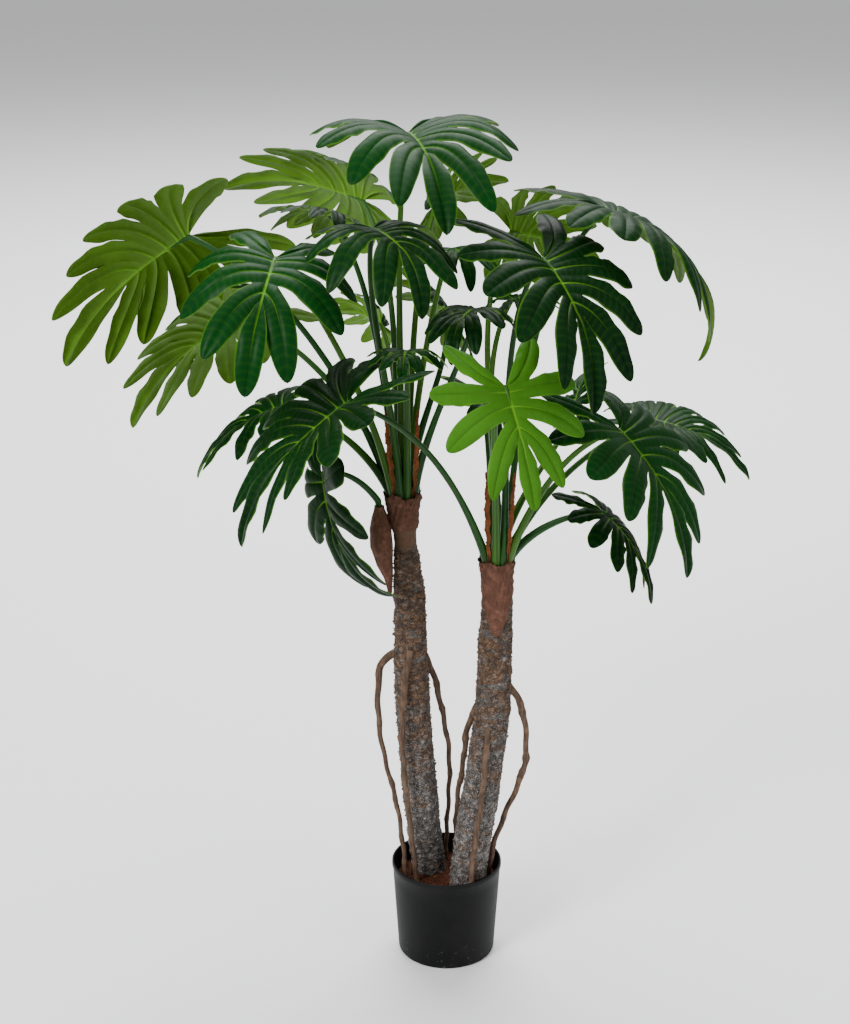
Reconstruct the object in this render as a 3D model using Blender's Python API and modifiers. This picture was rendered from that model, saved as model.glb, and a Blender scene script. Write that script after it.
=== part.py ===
"""Philodendron selloum with two trunks, standing in a plain nursery pot. Metres, +Z up."""

import math
import random

import bmesh
import bpy
import numpy as np
from mathutils import Vector

# Pot and soil
POT_HEIGHT = 0.152
POT_RIM_RADIUS = 0.085
POT_BASE_RADIUS = 0.075
POT_WALL = 0.0022
POT_FLOOR = 0.003
POT_LIP = 0.0014
POT_SIDES = 24
SOIL_TOP = 0.122
SOIL_WAVE = 0.0018
FIT_GAP = 0.0003

# Trunks
TRUNK_SIDES = 12
BARK_RIDGE = 0.0011
LEFT_TRUNK = (
    (-0.026, 0.026, 0.040, 0.026), (-0.029, 0.023, 0.135, 0.026), (-0.034, 0.018, 0.184, 0.0265),
    (-0.041, 0.012, 0.253, 0.027), (-0.047, 0.006, 0.338, 0.0265), (-0.053, 0.002, 0.422, 0.0265),
    (-0.055, 0.000, 0.504, 0.0255), (-0.056, 0.000, 0.584, 0.0240), (-0.060, 0.000, 0.640, 0.0200),
    (-0.062, 0.000, 0.672, 0.0172), (-0.063, 0.000, 0.690, 0.0190), (-0.065, 0.000, 0.708, 0.0238),
    (-0.066, 0.000, 0.740, 0.0238),
)
RIGHT_TRUNK = (
    (0.030, -0.026, 0.040, 0.027), (0.032, -0.026, 0.126, 0.027), (0.042, -0.024, 0.213, 0.0285),
    (0.054, -0.021, 0.298, 0.0285), (0.065, -0.020, 0.382, 0.0275), (0.069, -0.020, 0.432, 0.027),
    (0.071, -0.020, 0.513, 0.0265), (0.073, -0.020, 0.570, 0.0235), (0.073, -0.020, 0.610, 0.0238),
    (0.072, -0.020, 0.645, 0.0238),
)
LEFT_CROWN = (-0.066, 0.000, 0.740)
RIGHT_CROWN = (0.072, -0.020, 0.645)
SLOT_DEPTH = 0.026
OUTER_RING = 0.0176
INNER_RING = 0.0080

# Leaf stalks
STALK_FOOT_RADIUS = 0.0037
STALK_RADIUS = 0.0047
STALK_TIP_RADIUS = 0.0036
STALK_STEPS = 6
STALK_COLLAR = 0.012
STALK_BEVEL = 1
BLADE_THICKNESS = 0.0010

# Leaf outline, in shares of the blade's length:
# (vein leaves the midrib at, tip sideways, tip lengthways, half width)
SIDE_LOBES = (
    (0.000, 0.40, -0.44, 0.080),
    (0.020, 0.60, -0.20, 0.084),
    (0.065, 0.67, 0.09, 0.087),
    (0.140, 0.63, 0.37, 0.088),
    (0.230, 0.50, 0.63, 0.085),
    (0.340, 0.31, 0.85, 0.077),
)
TERMINAL_LOBE = (0.440, 0.0, 1.0, 0.088)
LOBE_NECK = 0.74
LOBE_ROWS = (0.42, 0.80)
KEEL = 14.0
KEELS = {"leaf_top": 26.0, "leaf_bright_front": 6.0, "leaf_mid_left": 18.0, "leaf_right_front": 20.0,
         "leaf_small_low_right": 2.0}
BACK_CURL = 15.0

# Rows along a trunk, and the height above which its bark is smooth
TRUNK_ROWS = 15
LEFT_SMOOTH = 0.690
RIGHT_SMOOTH = 0.535

# Pouch, roots and papery sheaths
POUCH_ROWS = (
    (-0.0850, -0.012, 0.600, 0.0025), (-0.0870, -0.012, 0.622, 0.0060), (-0.0930, -0.012, 0.646, 0.0120),
    (-0.0970, -0.012, 0.674, 0.0165), (-0.0980, -0.012, 0.700, 0.0160), (-0.0990, -0.012, 0.719, 0.0115),
    (-0.1000, -0.012, 0.732, 0.0072),
)
POUCH_SLOT = (-0.1000, -0.0120, 0.7320)
POUCH_LEAN = (-0.148, 0.0, 0.989)
ROOT_STEP = 0.041
ROOTS = {
    "root_left_side": (
        ((-0.078, -0.001, 0.500), (-0.093, -0.002, 0.504), (-0.104, -0.004, 0.480), (-0.105, -0.006, 0.391),
         (-0.095, -0.007, 0.325), (-0.077, -0.009, 0.257), (-0.066, -0.011, 0.171), (-0.063, -0.012, 0.123),
         (-0.062, -0.012, 0.102)),
        (0.0068, 0.0046, 0.0038, 0.0038, 0.0037), "left"),
    "root_left_front": (
        ((-0.055, -0.024, 0.514), (-0.063, -0.034, 0.470), (-0.067, -0.036, 0.438), (-0.068, -0.036, 0.355),
         (-0.060, -0.033, 0.269), (-0.051, -0.026, 0.180), (-0.046, -0.020, 0.132), (-0.045, -0.019, 0.102)),
        (0.0054, 0.0043, 0.0039, 0.0037), "left"),
    "root_left_back": (
        ((-0.034, 0.004, 0.496), (-0.022, 0.012, 0.472), (-0.011, 0.020, 0.413), (0.005, 0.030, 0.324),
         (0.003, 0.043, 0.233), (-0.001, 0.054, 0.167), (-0.002, 0.056, 0.100)),
        (0.0054, 0.0042, 0.0038, 0.0037), "left"),
    "root_right_side": (
        ((0.052, -0.018, 0.434), (0.038, -0.008, 0.406), (0.027, 0.002, 0.364), (0.027, 0.014, 0.316),
         (0.017, 0.024, 0.258), (0.014, 0.034, 0.183), (0.014, 0.038, 0.143), (0.014, 0.038, 0.100)),
        (0.0058, 0.0045, 0.0042, 0.0039), "right"),
    "root_right_front": (
        ((0.062, -0.040, 0.408), (0.059, -0.053, 0.385), (0.056, -0.056, 0.314), (0.046, -0.0595, 0.232),
         (0.037, -0.0600, 0.160), (0.036, -0.0600, 0.100)),
        (0.0046, 0.0041, 0.0040, 0.0038), "right"),
    "root_right_outer": (
        ((0.092, -0.020, 0.456), (0.109, -0.018, 0.434), (0.118, -0.014, 0.396), (0.122, -0.010, 0.328),
         (0.109, -0.006, 0.283), (0.085, -0.004, 0.221), (0.069, -0.004, 0.168), (0.066, -0.004, 0.129),
         (0.066, -0.004, 0.100)),
        (0.0058, 0.0047, 0.0047, 0.0044, 0.0042), "right"),
}
SHEATH_WIDTHS = (0.0036, 0.0042, 0.0060, 0.0070, 0.0050, 0.0022)
SHEATHS = (
    ("sheath_left_front", ((-0.0766, -0.0190, 0.7415), (-0.0772, -0.0200, 0.7600), (-0.0790, -0.0240, 0.7800),
                           (-0.0830, -0.0290, 0.8100), (-0.0865, -0.0330, 0.8500), (-0.0890, -0.0360, 0.8850)),
     (-0.4, -1.0, 0.0)),
    ("sheath_left_side", ((-0.0507, -0.0153, 0.7415), (-0.0502, -0.0160, 0.7600), (-0.0480, -0.0190, 0.7800),
                          (-0.0460, -0.0230, 0.8100), (-0.0450, -0.0260, 0.8500), (-0.0440, -0.0280, 0.8850)),
     (0.6, -1.0, 0.0)),
    ("sheath_right_front", ((0.0605, -0.0395, 0.6465), (0.0600, -0.0405, 0.6640), (0.0585, -0.0440, 0.6850),
                            (0.0570, -0.0470, 0.7200), (0.0560, -0.0490, 0.7650), (0.0550, -0.0500, 0.8000)),
     (-0.3, -1.0, 0.0)),
    ("sheath_right_side", ((0.0858, -0.0377, 0.6465), (0.0862, -0.0387, 0.6640), (0.0880, -0.0425, 0.6850),
                           (0.0900, -0.0470, 0.7200), (0.0920, -0.0510, 0.7650), (0.0940, -0.0540, 0.8000)),
     (0.8, -1.0, 0.0)),
)

# Leaves:
# name, crown, slot angle, slot ring, blade base, blade tip, roll, droop,
# side droop left and right, lobes a side, width, lobe flop, seed
LEAVES = (
    ("leaf_far_left", "left", 156, 1, (-0.365, 0.020, 1.125), (-0.550, -0.025, 0.950),
     60, 45, (60, 50), 6, 0.80, 0.10, 1),
    ("leaf_low_far_left", "left", 124, 1, (-0.305, 0.095, 0.992), (-0.475, 0.050, 0.840),
     50, 40, (60, 40), 6, 0.75, 0.10, 2),
    ("leaf_left_front", "left", 224, 1, (-0.230, -0.135, 1.125), (-0.262, -0.300, 0.985),
     -10, 45, (60, 65), 4, 0.82, 0.15, 3),
    ("leaf_top_back", "left", 113, 0, (-0.125, 0.168, 1.150), (-0.338, 0.248, 1.170),
     50, 30, (60, 40), 6, 0.75, 0.12, 4),
    ("leaf_top", "left", 257, 0, (-0.056, -0.030, 1.275), (0.000, -0.240, 1.182),
     0, 50, (50, 55), 5, 0.88, 0.15, 5),
    ("leaf_upper_front", "left", 258, 1, (-0.100, -0.140, 1.165), (-0.020, -0.285, 1.100),
     0, 45, (50, 60), 4, 0.90, 0.20, 6),
    ("leaf_upper_left", "left", 185, 0, (-0.160, 0.022, 1.150), (-0.262, -0.043, 1.172),
     10, 35, (60, 60), 5, 0.85, 0.20, 7),
    ("leaf_mid_left", "right", 214, 1, (-0.133, -0.190, 0.942), (-0.290, -0.265, 0.770),
     0, 35, (20, 35), 6, 0.78, 0.10, 8),
    ("leaf_behind_mid_left", "left", 190, 1, (-0.235, 0.020, 0.880), (-0.375, 0.000, 0.780),
     0, 40, (40, 40), 5, 0.85, 0.12, 9),
    ("leaf_hanging", "pouch", 0, 0, (-0.178, -0.068, 0.802), (-0.084, -0.098, 0.610),
     128, 50, (30, 30), 4, 0.50, 0.10, 10),
    ("leaf_small_centre", "left", 292, 1, (-0.058, -0.100, 0.990), (-0.062, -0.195, 0.975),
     0, 45, (50, 50), 4, 0.90, 0.15, 11),
    ("leaf_centre_back", "left", 64, 1, (0.000, 0.155, 0.975), (-0.105, 0.260, 1.025),
     50, 30, (40, 30), 5, 0.90, 0.15, 12),
    ("leaf_low_back", "left", 96, 1, (-0.100, 0.200, 0.955), (-0.185, 0.280, 0.965),
     60, 30, (40, 30), 5, 0.85, 0.15, 13),
    ("leaf_top_behind", "left", 41, 0, (-0.022, 0.118, 1.150), (0.082, 0.215, 1.180),
     -60, 30, (40, 30), 5, 0.82, 0.15, 14),
    ("leaf_upper_centre", "left", 329, 0, (0.000, 0.025, 1.105), (0.035, -0.085, 1.090),
     0, 50, (60, 60), 4, 0.85, 0.20, 15),
    ("leaf_bright_front", "right", 262, 1, (0.075, -0.220, 0.972), (0.114, -0.300, 0.828),
     0, 20, (12, 12), 4, 1.00, 0.08, 16),
    ("leaf_inner_right", "left", 338, 1, (0.036, -0.084, 1.045), (-0.002, -0.202, 1.015),
     0, 50, (55, 60), 4, 0.72, 0.20, 17),
    ("leaf_right_front", "right", 294, 1, (0.125, -0.135, 1.125), (0.195, -0.255, 0.945),
     -10, 50, (36, 50), 5, 0.85, 0.08, 18),
    ("leaf_far_right", "right", 20, 0, (0.215, 0.000, 1.165), (0.398, -0.008, 0.960),
     -5, 65, (50, 50), 6, 0.75, 0.12, 19),
    ("leaf_right_back", "right", 95, 0, (0.090, 0.140, 1.110), (0.225, 0.185, 1.065),
     -70, 30, (40, 30), 5, 0.85, 0.15, 20),
    ("leaf_low_right", "right", 326, 1, (0.235, -0.120, 0.885), (0.335, -0.205, 0.700),
     -10, 40, (25, 40), 5, 0.88, 0.12, 21),
    ("leaf_low_right_back", "right", 38, 1, (0.292, 0.062, 0.848), (0.447, 0.012, 0.778),
     0, 40, (25, 40), 6, 0.85, 0.12, 22),
    ("leaf_small_low_right", "right", 4, 1, (0.222, -0.042, 0.740), (0.302, -0.100, 0.622),
     -15, 35, (40, 50), 5, 0.66, 0.12, 23),
    ("leaf_small_back", "right", 112, 1, (0.055, 0.120, 0.845), (0.000, 0.220, 0.860),
     40, 40, (30, 30), 4, 0.95, 0.15, 24),
    ("leaf_small_right_back", "right", 75, 1, (0.190, 0.160, 0.835), (0.230, 0.240, 0.890),
     -40, 30, (30, 30), 4, 0.95, 0.15, 25),
    ("leaf_edge_on", "right", 285, 0, (0.088, 0.040, 1.030), (0.165, 0.070, 1.020),
     0, 30, (50, 50), 4, 0.90, 0.15, 26),
)


# Helpers
def clear_scene():
    for old in list(bpy.data.objects):
        bpy.data.objects.remove(old, do_unlink=True)


def material(name, colour, roughness):
    """A plain Principled material."""
    made = bpy.data.materials.new(name)
    made.use_nodes = True
    shader = made.node_tree.nodes["Principled BSDF"]
    shader.inputs["Base Color"].default_value = (*colour, 1.0)
    shader.inputs["Roughness"].default_value = roughness
    return made


def mesh_object(name, points, faces, made=None):
    """A mesh object from points and faces."""
    mesh = bpy.data.meshes.new(name)
    mesh.from_pydata([tuple(point) for point in points], [], faces)
    mesh.validate()
    mesh.update()
    piece = bpy.data.objects.new(name, mesh)
    bpy.context.scene.collection.objects.link(piece)
    if made is not None:
        mesh.materials.append(made)
    return piece


def apply_modifiers(piece):
    """Turn a piece with modifiers into a plain mesh in place."""
    graph = bpy.context.evaluated_depsgraph_get()
    graph.update()
    mesh = bpy.data.meshes.new_from_object(piece.evaluated_get(graph))
    piece.modifiers.clear()
    piece.data = mesh
    return piece


def drop(piece):
    """Remove a helper piece."""
    bpy.data.objects.remove(piece, do_unlink=True)


def hide_cutter(piece):
    piece.hide_render = True
    piece.display_type = "WIRE"
    return piece


def boolean(target, operation, others, solver="EXACT"):
    """Apply one Boolean with a group of pieces, then remove the pieces."""
    group = bpy.data.collections.new(target.name + "_group")
    bpy.context.scene.collection.children.link(group)
    for other in others:
        group.objects.link(hide_cutter(other))
    step = target.modifiers.new(operation.lower(), "BOOLEAN")
    step.operation = operation
    step.operand_type = "COLLECTION"
    step.collection = group
    step.solver = solver
    apply_modifiers(target)
    for other in others:
        drop(other)
    bpy.data.collections.remove(group)
    return target


def unit(vector):
    return vector / np.linalg.norm(vector)


def circle(x, y, height, radius, sides):
    """A level ring of points."""
    turns = [2 * math.pi * k / sides for k in range(sides)]
    return [(x + radius * math.cos(turn), y + radius * math.sin(turn), height) for turn in turns]


def loft(name, rings, made=None):
    """A closed body through rings that have the same number of points."""
    sides = len(rings[0])
    points = [point for ring in rings for point in ring]
    faces = [list(range(sides))[::-1]]
    for row in range(len(rings) - 1):
        for side in range(sides):
            one = row * sides + side
            two = row * sides + (side + 1) % sides
            faces.append([one, two, two + sides, one + sides])
    faces.append([(len(rings) - 1) * sides + side for side in range(sides)])
    return mesh_object(name, points, faces, made)


def tube(name, path, radii, bevel, made=None):
    """A capped round bar along a path of points."""
    curve = bpy.data.curves.new(name, "CURVE")
    curve.dimensions = "3D"
    curve.bevel_depth = 1.0
    curve.bevel_resolution = bevel
    curve.use_fill_caps = True
    curve.twist_mode = "MINIMUM"
    line = curve.splines.new("POLY")
    line.points.add(len(path) - 1)
    for spot, point, radius in zip(line.points, path, radii):
        spot.co = (*point, 1.0)
        spot.radius = radius
    helper = bpy.data.objects.new(name + "_path", curve)
    bpy.context.scene.collection.objects.link(helper)
    graph = bpy.context.evaluated_depsgraph_get()
    graph.update()
    mesh = bpy.data.meshes.new_from_object(helper.evaluated_get(graph))
    drop(helper)
    piece = bpy.data.objects.new(name, mesh)
    bpy.context.scene.collection.objects.link(piece)
    mesh.materials.clear()
    if made is not None:
        mesh.materials.append(made)
    weld(piece)
    return piece


def weld(piece):
    """Join doubled points and turn faces outward."""
    work = bmesh.new()
    work.from_mesh(piece.data)
    bmesh.ops.remove_doubles(work, verts=work.verts, dist=0.00002)
    bmesh.ops.recalc_face_normals(work, faces=work.faces)
    work.to_mesh(piece.data)
    work.free()


# Blades
def blade_lobes(leaf, side, dice):
    """The lobes down one side: vein start, tip sideways, tip lengthways, half width."""
    table = np.array(SIDE_LOBES)
    count = leaf["lobes"]
    lobes = []
    first = 0.0 if count > 3 else 1.6
    for place in np.linspace(first, len(table) - 1.0, count):
        start, across, along, half = (np.interp(place, range(len(table)), table[:, k]) for k in range(4))
        across = side * (across + dice.uniform(-0.03, 0.03)) * leaf["width"]
        along = along + dice.uniform(-0.025, 0.025)
        lobes.append((start, across, along, half * (len(table) / count) ** 0.5))
    return lobes


def vein_point(lobe, share):
    """A point on a lobe's vein, which leaves the midrib squarely and then turns forward."""
    start, across, along = lobe[:3]
    first = np.array((0.0, start))
    last = np.array((across, along))
    bend = np.array((0.55 * across, start + 0.16 * (along - start)))
    if across == 0.0:
        bend = 0.5 * (first + last)
    return (1 - share) ** 2 * first + 2 * share * (1 - share) * bend + share ** 2 * last


def sinus_share(one, two):
    """Where two neighbouring lobes part: the first place their widths clear each other."""
    need = (LOBE_NECK + 0.02) * (one[3] + two[3])
    share = 0.18
    while share < 0.75 and np.linalg.norm(vein_point(one, share) - vein_point(two, share)) < need:
        share += 0.01
    return share


def blade_grid(leaf, inner_rows, lobe_rows, columns):
    """Grids of (sideways, lengthways, droop) points, one grid a lobe, left basal to right basal."""
    dice = random.Random(leaf["seed"])
    left = blade_lobes(leaf, -1, dice)
    right = blade_lobes(leaf, 1, dice)
    seam_start = 0.5 * (left[-1][0] + TERMINAL_LOBE[0])
    lobes = left + [(seam_start,) + TERMINAL_LOBE[1:]] + right[::-1]
    shares = [sinus_share(one, two) for one, two in zip(lobes, lobes[1:])]
    seams = [(np.array((0.0, 0.0)), np.array((-0.012, -0.016)))]
    for index, share in enumerate(shares):
        one = lobes[index]
        two = lobes[index + 1]
        foot = np.array((0.0, 0.5 * (one[0] + two[0])))
        if 0.0 in (one[1], two[1]):
            foot = np.array((0.0, seam_start))
        seams.append((foot, 0.5 * (vein_point(one, share) + vein_point(two, share))))
    seams.append((np.array((0.0, 0.0)), np.array((0.012, -0.016))))
    ends = [0.05] + shares + [0.05]
    grids = []
    for index, lobe in enumerate(lobes):
        joined = max(ends[index], ends[index + 1])
        swing = dice.uniform(0.3, 1.7) * leaf["flop"]
        rows = []
        for share in inner_rows:
            centre = vein_point(lobe, joined * share)
            edges = [foot + (notch - foot) * share for foot, notch in seams[index:index + 2]]
            rows.append([np.append(p, 0.0) for p in fan(edges[0], centre, edges[1], columns)])
        for share in lobe_rows:
            place = joined + (1.0 - joined) * share
            centre = vein_point(lobe, place)
            step = vein_point(lobe, place + 0.01) - vein_point(lobe, place - 0.01)
            across = np.array((-step[1], step[0])) / np.linalg.norm(step)
            half = lobe[3] * (LOBE_NECK + (1.0 - LOBE_NECK) * math.sin(math.pi * min(share, 0.55) / 1.1))
            half *= max(1.0 - share ** 4.6, 0.0) ** 0.58
            blend = max(1.0 - share / 0.24, 0.0) ** 1.6
            first = vein_point(lobe, joined)
            slope = vein_point(lobe, joined + 0.01) - vein_point(lobe, joined - 0.01)
            slope = np.array((-slope[1], slope[0])) / np.linalg.norm(slope)
            edges = []
            for sign, (foot, notch) in zip((1, -1), seams[index:index + 2]):
                offset = notch - (first + slope * sign * lobe[3] * LOBE_NECK)
                edges.append(centre + across * sign * half + offset * blend)
            droop = swing * share ** 2 * (1.0 - joined)
            rows.append([np.append(p, droop) for p in fan(edges[0], centre, edges[1], columns)])
        tip = np.append(vein_point(lobe, 1.0), swing * (1.0 - joined))
        grids.append((rows, tip))
    return grids


def fan(left, centre, right, columns):
    """Points from one edge over the vein to the other edge."""
    shares = np.linspace(0.0, 1.0, columns + 1)
    first = [left + (centre - left) * share for share in shares]
    second = [centre + (right - centre) * share for share in shares[1:]]
    return first + second


def blade_frame(leaf):
    """Length, start point and the forward, right and upper directions at the blade's base."""
    base = np.array(leaf["base"])
    chord = np.array(leaf["tip"]) - base
    span = np.linalg.norm(chord)
    half = math.radians(leaf["droop"]) / 2
    length = span * half / math.sin(half)
    ahead = chord / span
    right = unit(np.cross(ahead, (0.0, 0.0, 1.0)))
    upper = np.cross(right, ahead)
    roll = math.radians(leaf["roll"])
    upper, right = (upper * math.cos(roll) + right * math.sin(roll),
                    right * math.cos(roll) - upper * math.sin(roll))
    forward = ahead * math.cos(half) + upper * math.sin(half)
    upper = upper * math.cos(half) - ahead * math.sin(half)
    return length, base, forward, right, upper


def blade_point(leaf, frame, point):
    """Bend a flat outline point over the drooping midrib and the drooping sides."""
    length, base, forward, right, upper = frame
    sideways, lengthways, droop = point[0] * length, point[1] * length, point[2] * length
    bend = math.radians(leaf["droop"]) / length
    if lengthways < 0:
        bend = math.radians(leaf["back"]) / (0.5 * length)
    angle = bend * lengthways
    along = math.sin(angle) / bend
    down = (1.0 - math.cos(angle)) / bend
    normal = upper * math.cos(angle) + forward * math.sin(angle)
    side = 0 if sideways < 0 else 1
    curl = math.radians(leaf["sides"][side]) / (0.7 * length)
    start = math.radians(leaf["keel"])
    reach = abs(sideways)
    across = (math.sin(curl * reach - start) + math.sin(start)) / curl
    fall = (math.cos(start) - math.cos(curl * reach - start)) / curl
    across = across if side else -across
    return base + forward * along - upper * down + right * across - normal * (fall + droop)


def blade(leaf, made, inner_rows=(0.0, 1.0), lobe_rows=LOBE_ROWS, columns=1):
    """A lobed blade: one strip of faces a lobe, split alike on both faces, then given its thickness."""
    frame = blade_frame(leaf)
    points = []
    index = {}
    faces = []

    def put(point):
        key = tuple(np.round(point[:2], 6))
        if key not in index:
            index[key] = len(points)
            points.append(blade_point(leaf, frame, point))
        return index[key]

    for rows, tip in blade_grid(leaf, inner_rows, lobe_rows, columns):
        numbers = []
        for row, line in enumerate(rows):
            if columns == 1 and row >= len(inner_rows):
                line = line[::2]
            numbers.append([put(point) for point in line])
        for row, (one, two) in enumerate(zip(numbers, numbers[1:])):
            if len(one) > len(two):
                faces.extend(((one[0], one[1], two[0]), (two[0], one[1], two[1]), (one[1], one[2], two[1])))
                continue
            for k in range(len(one) - 1):
                corners = (one[k], one[k + 1], two[k + 1], two[k])
                first = (corners[0], corners[1], corners[2])
                second = (corners[0], corners[2], corners[3])
                if k < columns:
                    first = (corners[0], corners[1], corners[3])
                    second = (corners[1], corners[2], corners[3])
                for face in (first, second):
                    if len(set(face)) == 3:
                        faces.append(face)
        last = put(tip)
        for k in range(len(numbers[-1]) - 1):
            faces.append((numbers[-1][k], numbers[-1][k + 1], last))
    piece = mesh_object(leaf["name"], points, faces, made)
    weld(piece)
    if piece.data.polygons[0].normal.dot(Vector(frame[4])) < 0:
        piece.data.flip_normals()
    shell = piece.modifiers.new("thickness", "SOLIDIFY")
    shell.thickness = BLADE_THICKNESS
    shell.offset = 0.0
    return apply_modifiers(piece)


# Stalks
def slot_place(crown, angle, ring):
    """The middle of a stalk's slot at the crown's top."""
    reach = OUTER_RING if ring else INNER_RING
    turn = math.radians(angle)
    return np.array(crown) + reach * np.array((math.cos(turn), math.sin(turn), 0.0))


def stalk_path(leaf):
    """Points and radii from the slot's foot, up through the crown and over to the blade."""
    length, base, forward, right, upper = blade_frame(leaf)
    top = leaf["slot"]
    rise = np.array(leaf["start"])
    begin = top + rise * STALK_COLLAR
    ahead = unit(base - begin)
    reach = np.linalg.norm(base - begin)
    leave = unit(ahead + rise * 0.9)
    arrive = unit(0.8 * ahead + 0.5 * forward)
    end = base - upper * 0.0022
    second = begin + leave * 0.38 * reach
    third = end - arrive * 0.30 * reach
    points = [top - rise * leaf["depth"]]
    radii = [STALK_FOOT_RADIUS * leaf["stalk"]]
    for step in range(STALK_STEPS + 1):
        t = step / STALK_STEPS
        points.append((1 - t) ** 3 * begin + 3 * (1 - t) ** 2 * t * second
                      + 3 * (1 - t) * t * t * third + t ** 3 * end)
        thick = np.interp(t, (0.0, 0.2, 1.0), (STALK_FOOT_RADIUS, STALK_RADIUS, STALK_TIP_RADIUS))
        radii.append(thick * leaf["stalk"])
    points.append(blade_point(leaf, blade_frame(leaf), (0.0, 0.07, 0.0)) - upper * 0.0006)
    radii.append(0.0016)
    return points, radii


def build_leaf(leaf, made):
    """One leaf: its stalk and its lobed blade in one piece."""
    points, radii = stalk_path(leaf)
    stalk = tube(leaf["name"] + "_stalk", points, radii, STALK_BEVEL)
    piece = blade(leaf, made)
    boolean(piece, "UNION", [stalk])
    weld(piece)
    return piece


# Trunks, roots and wraps
def trunk_at(spec, height):
    """Centre and radius of a trunk at a height."""
    rows = np.array(spec)
    x, y, radius = (np.interp(height, rows[:, 2], rows[:, k]) for k in (0, 1, 3))
    return x, y, radius


def trunk(name, spec, grow, smooth_above, seed, made=None):
    """A trunk through its rows, roughened below the wrapped part."""
    dice = random.Random(seed)
    bottom, top = spec[0][2], spec[-1][2]
    rings = []
    for row in range(TRUNK_ROWS + 1):
        height = bottom + (top - bottom) * row / TRUNK_ROWS
        x, y, radius = trunk_at(spec, height)
        swell = dice.uniform(-0.6, 1.0)
        ring = []
        for side in range(TRUNK_SIDES):
            rough = BARK_RIDGE * (0.6 * swell + dice.uniform(-0.7, 0.7))
            if height > smooth_above or height < 0.125:
                rough = 0.0
            turn = 2 * math.pi * side / TRUNK_SIDES
            reach = radius + rough + grow
            ring.append((x + reach * math.cos(turn), y + reach * math.sin(turn), height))
        rings.append(ring)
    if grow:
        rings[0] = [(px, py, pz - grow) for px, py, pz in rings[0]]
        rings[-1] = [(px, py, pz + grow) for px, py, pz in rings[-1]]
    return loft(name, rings, made)


def bore_slots(piece, crown, leaves):
    """Plain holes in the crown for the leaf stalks."""
    cutters = []
    for leaf in leaves:
        x, y, z = leaf["slot"]
        radius = (STALK_FOOT_RADIUS * leaf["stalk"] + FIT_GAP) / math.cos(math.pi / 8)
        rings = []
        for height in (z - leaf["depth"] - FIT_GAP, z + 0.02):
            rings.append(circle(x, y, height, radius, 8))
        cutters.append(loft("slot", rings))
    boolean(piece, "DIFFERENCE", cutters)


def sleeve(name, spec, low, high, wall, flare, seed, made):
    """A fibrous wrap round a trunk between two rims whose heights change round it."""
    dice = random.Random(seed)
    rows = 2
    outer, inner = [], []
    lows = [low(2 * math.pi * k / TRUNK_SIDES) + dice.uniform(-0.004, 0.004) for k in range(TRUNK_SIDES)]
    highs = [high + dice.uniform(-0.003, 0.003) for k in range(TRUNK_SIDES)]
    for row in range(rows + 1):
        out_ring, in_ring = [], []
        for side in range(TRUNK_SIDES):
            turn = 2 * math.pi * side / TRUNK_SIDES
            height = lows[side] + (highs[side] - lows[side]) * row / rows
            x, y, radius = trunk_at(spec, min(height, spec[-1][2]))
            radius += 0.0007 + max(flare * (row / rows - 0.5), 0.0)
            thick = wall * dice.uniform(0.8, 1.5)
            in_ring.append((x + radius * math.cos(turn), y + radius * math.sin(turn), height))
            radius += thick
            out_ring.append((x + radius * math.cos(turn), y + radius * math.sin(turn), height))
        outer.append(out_ring)
        inner.append(in_ring)
    rings = outer + inner[::-1]
    points = [point for ring in rings for point in ring]
    faces = []
    for row in range(len(rings)):
        after = (row + 1) % len(rings)
        for side in range(TRUNK_SIDES):
            turn = (side + 1) % TRUNK_SIDES
            faces.append([row * TRUNK_SIDES + side, row * TRUNK_SIDES + turn,
                          after * TRUNK_SIDES + turn, after * TRUNK_SIDES + side])
    piece = mesh_object(name, points, faces, made)
    weld(piece)
    return piece


def strip(name, path, widths, facing, made):
    """A thin papery strip along a path, its flat side turned to a direction."""
    face = unit(np.array(facing))
    rings = []
    path = [np.array(point) for point in path]
    for index, point in enumerate(path):
        ahead = unit(path[min(index + 1, len(path) - 1)] - path[max(index - 1, 0)])
        across = unit(np.cross(ahead, face))
        out = unit(np.cross(across, ahead))
        half = widths[index] / 2
        left, right = point - across * half, point + across * half
        rings.append([left - out * 0.0002, point - out * 0.0006, right - out * 0.0002,
                      right + out * 0.0008, point + out * 0.0012, left + out * 0.0008])
    piece = loft(name, rings, made)
    weld(piece)
    return piece


def root(name, path, radii, trunks, made):
    """An aerial root, knotted, its upper end cut to the trunk it leaves."""
    points, sizes = refine(path, radii, ROOT_STEP)
    piece = tube(name, points, sizes, 1, made)
    boolean(piece, "DIFFERENCE", trunks)
    weld(piece)
    return piece


def refine(path, radii, step):
    """A smooth run of points through a rough path, with small knots in the radius."""
    path = np.array(path)
    gaps = np.linalg.norm(np.diff(path, axis=0), axis=1)
    places = np.concatenate(([0.0], np.cumsum(gaps)))
    count = max(int(places[-1] / step), 3)
    points, sizes = [], []
    for k in range(count + 1):
        place = places[-1] * k / count
        spot = [np.interp(place, places, path[:, axis]) for axis in range(3)]
        before = [np.interp(place - 0.3 * step, places, path[:, axis]) for axis in range(3)]
        after = [np.interp(place + 0.3 * step, places, path[:, axis]) for axis in range(3)]
        smooth = [(spot[a] + before[a] + after[a]) / 3 for a in range(3)]
        points.append(smooth if 0 < k < count else spot)
        knot = 1.0 + (0.16 if k % 3 == 1 else -0.06)
        sizes.append(np.interp(place / places[-1], np.linspace(0, 1, len(radii)), radii) * knot)
    return points, sizes


def pouch(made, cutters):
    """The bulged leaf sheath at the left trunk's side."""
    rings = []
    for x, y, z, radius in POUCH_ROWS:
        round_ring = circle(x, 0.0, z, radius, 10)
        rings.append([(px, y + 1.15 * py, pz) for px, py, pz in round_ring])
    piece = loft("pouch_left", rings, made)
    boolean(piece, "DIFFERENCE", cutters)
    weld(piece)
    return piece


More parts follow.
